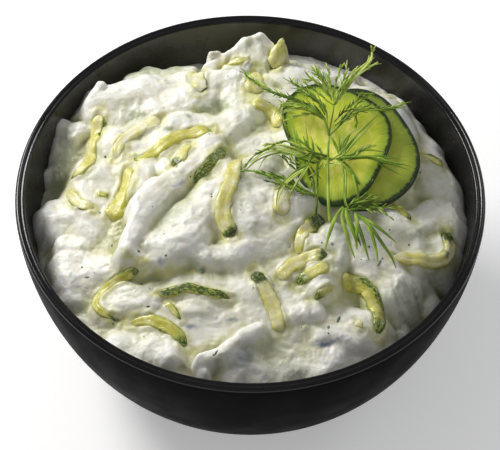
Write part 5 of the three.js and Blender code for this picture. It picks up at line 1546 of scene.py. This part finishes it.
# the inside's sheen colour is a painted reflection of the dip on the back left wall
inner_glaze = stoneware_finish("black_glaze_inside", 0.9, 0.3, (8, 8, 8), (15, 14, 14), (72, 70, 62))
lip_glaze = stoneware_finish("black_glaze_lip", 0.35, 0.2, (7, 7, 9), (14, 13, 16), (14, 13, 16))
dress(make_bowl(), [outer_glaze, inner_glaze, lip_glaze], "stoneware", "bowl")
dress(make_dip(), [yoghurt_finish()], "yoghurt", "dip")
wet_cucumber = shred_finish()
for shred_name, shred_plan in SHREDS.items():
    dress(make_shred(shred_name, *shred_plan), [wet_cucumber], "cucumber_shred", shred_name)
for slice_name, slice_plan in SLICES.items():
    cut_face = slice_finish(*SLICE_LOOKS[slice_name])
    dress(make_slice(slice_name, *slice_plan), [cut_face], "cucumber_slice", slice_name)
dress(make_dill(), [dill_finish()], "dill_green", "dill")
dress(make_flecks(), [herb_finish()], "dill_green")


# ---- floor, light and camera


def make_floor():
    corners = [(x * FLOOR_REACH, y * FLOOR_REACH, 0) for x, y in ((-1, -1), (1, -1), (1, 1), (-1, 1))]
    floor = new_object("floor", corners, [(0, 1, 2, 3)], smooth=False)
    floor.data.materials.append(floor_finish())


def add_softbox(name, azimuth, elevation, distance, width, height, power, colour):
    """A rectangular lamp that looks at the dip."""
    turn, rise = math.radians(azimuth), math.radians(elevation)
    heading = Vector((math.cos(rise) * math.cos(turn), math.cos(rise) * math.sin(turn), math.sin(rise)))
    lamp = bpy.data.lights.new(name, "AREA")
    lamp.shape, lamp.size, lamp.size_y, lamp.energy, lamp.color = "RECTANGLE", width, height, power, colour
    holder = bpy.data.objects.new(name, lamp)
    holder.location = Vector(LAMP_AIM) + heading * distance
    holder.rotation_euler = heading.to_track_quat("Z", "Y").to_euler()
    bpy.context.scene.collection.objects.link(holder)


def add_camera():
    """Looks down at the bowl from the front, a little rolled, as fitted to the rim's outline."""
    eye, right, up, ahead = (Vector(axis) for axis in camera_axes())
    lens = bpy.data.cameras.new("camera")
    lens.sensor_width, lens.lens = 36, 36 * CAMERA_FOCAL_PX / PHOTO_WIDTH_PX
    lens.shift_x = (PHOTO_WIDTH_PX / 2 - CAMERA_MIDDLE_PX[0]) / PHOTO_WIDTH_PX
    lens.shift_y = (CAMERA_MIDDLE_PX[1] - PHOTO_HEIGHT_PX / 2) / PHOTO_WIDTH_PX
    lens.clip_start, lens.clip_end = 0.01, 20
    holder = bpy.data.objects.new("camera", lens)
    turn = Matrix((right, up, -ahead)).transposed()
    holder.matrix_world = Matrix.Translation(eye * MM) @ turn.to_4x4()
    bpy.context.scene.collection.objects.link(holder)
    bpy.context.scene.camera = holder


def add_world():
    world = bpy.data.worlds.new("studio")
    world.use_nodes = True
    background = world.node_tree.nodes["Background"]
    background.inputs["Color"].default_value = WORLD_COLOUR
    background.inputs["Strength"].default_value = WORLD_STRENGTH
    bpy.context.scene.world = world


make_floor()
for lamp_plan in LAMPS:
    add_softbox(*lamp_plan)
add_world()
add_camera()
bpy.context.scene.view_settings.view_transform = "Standard"
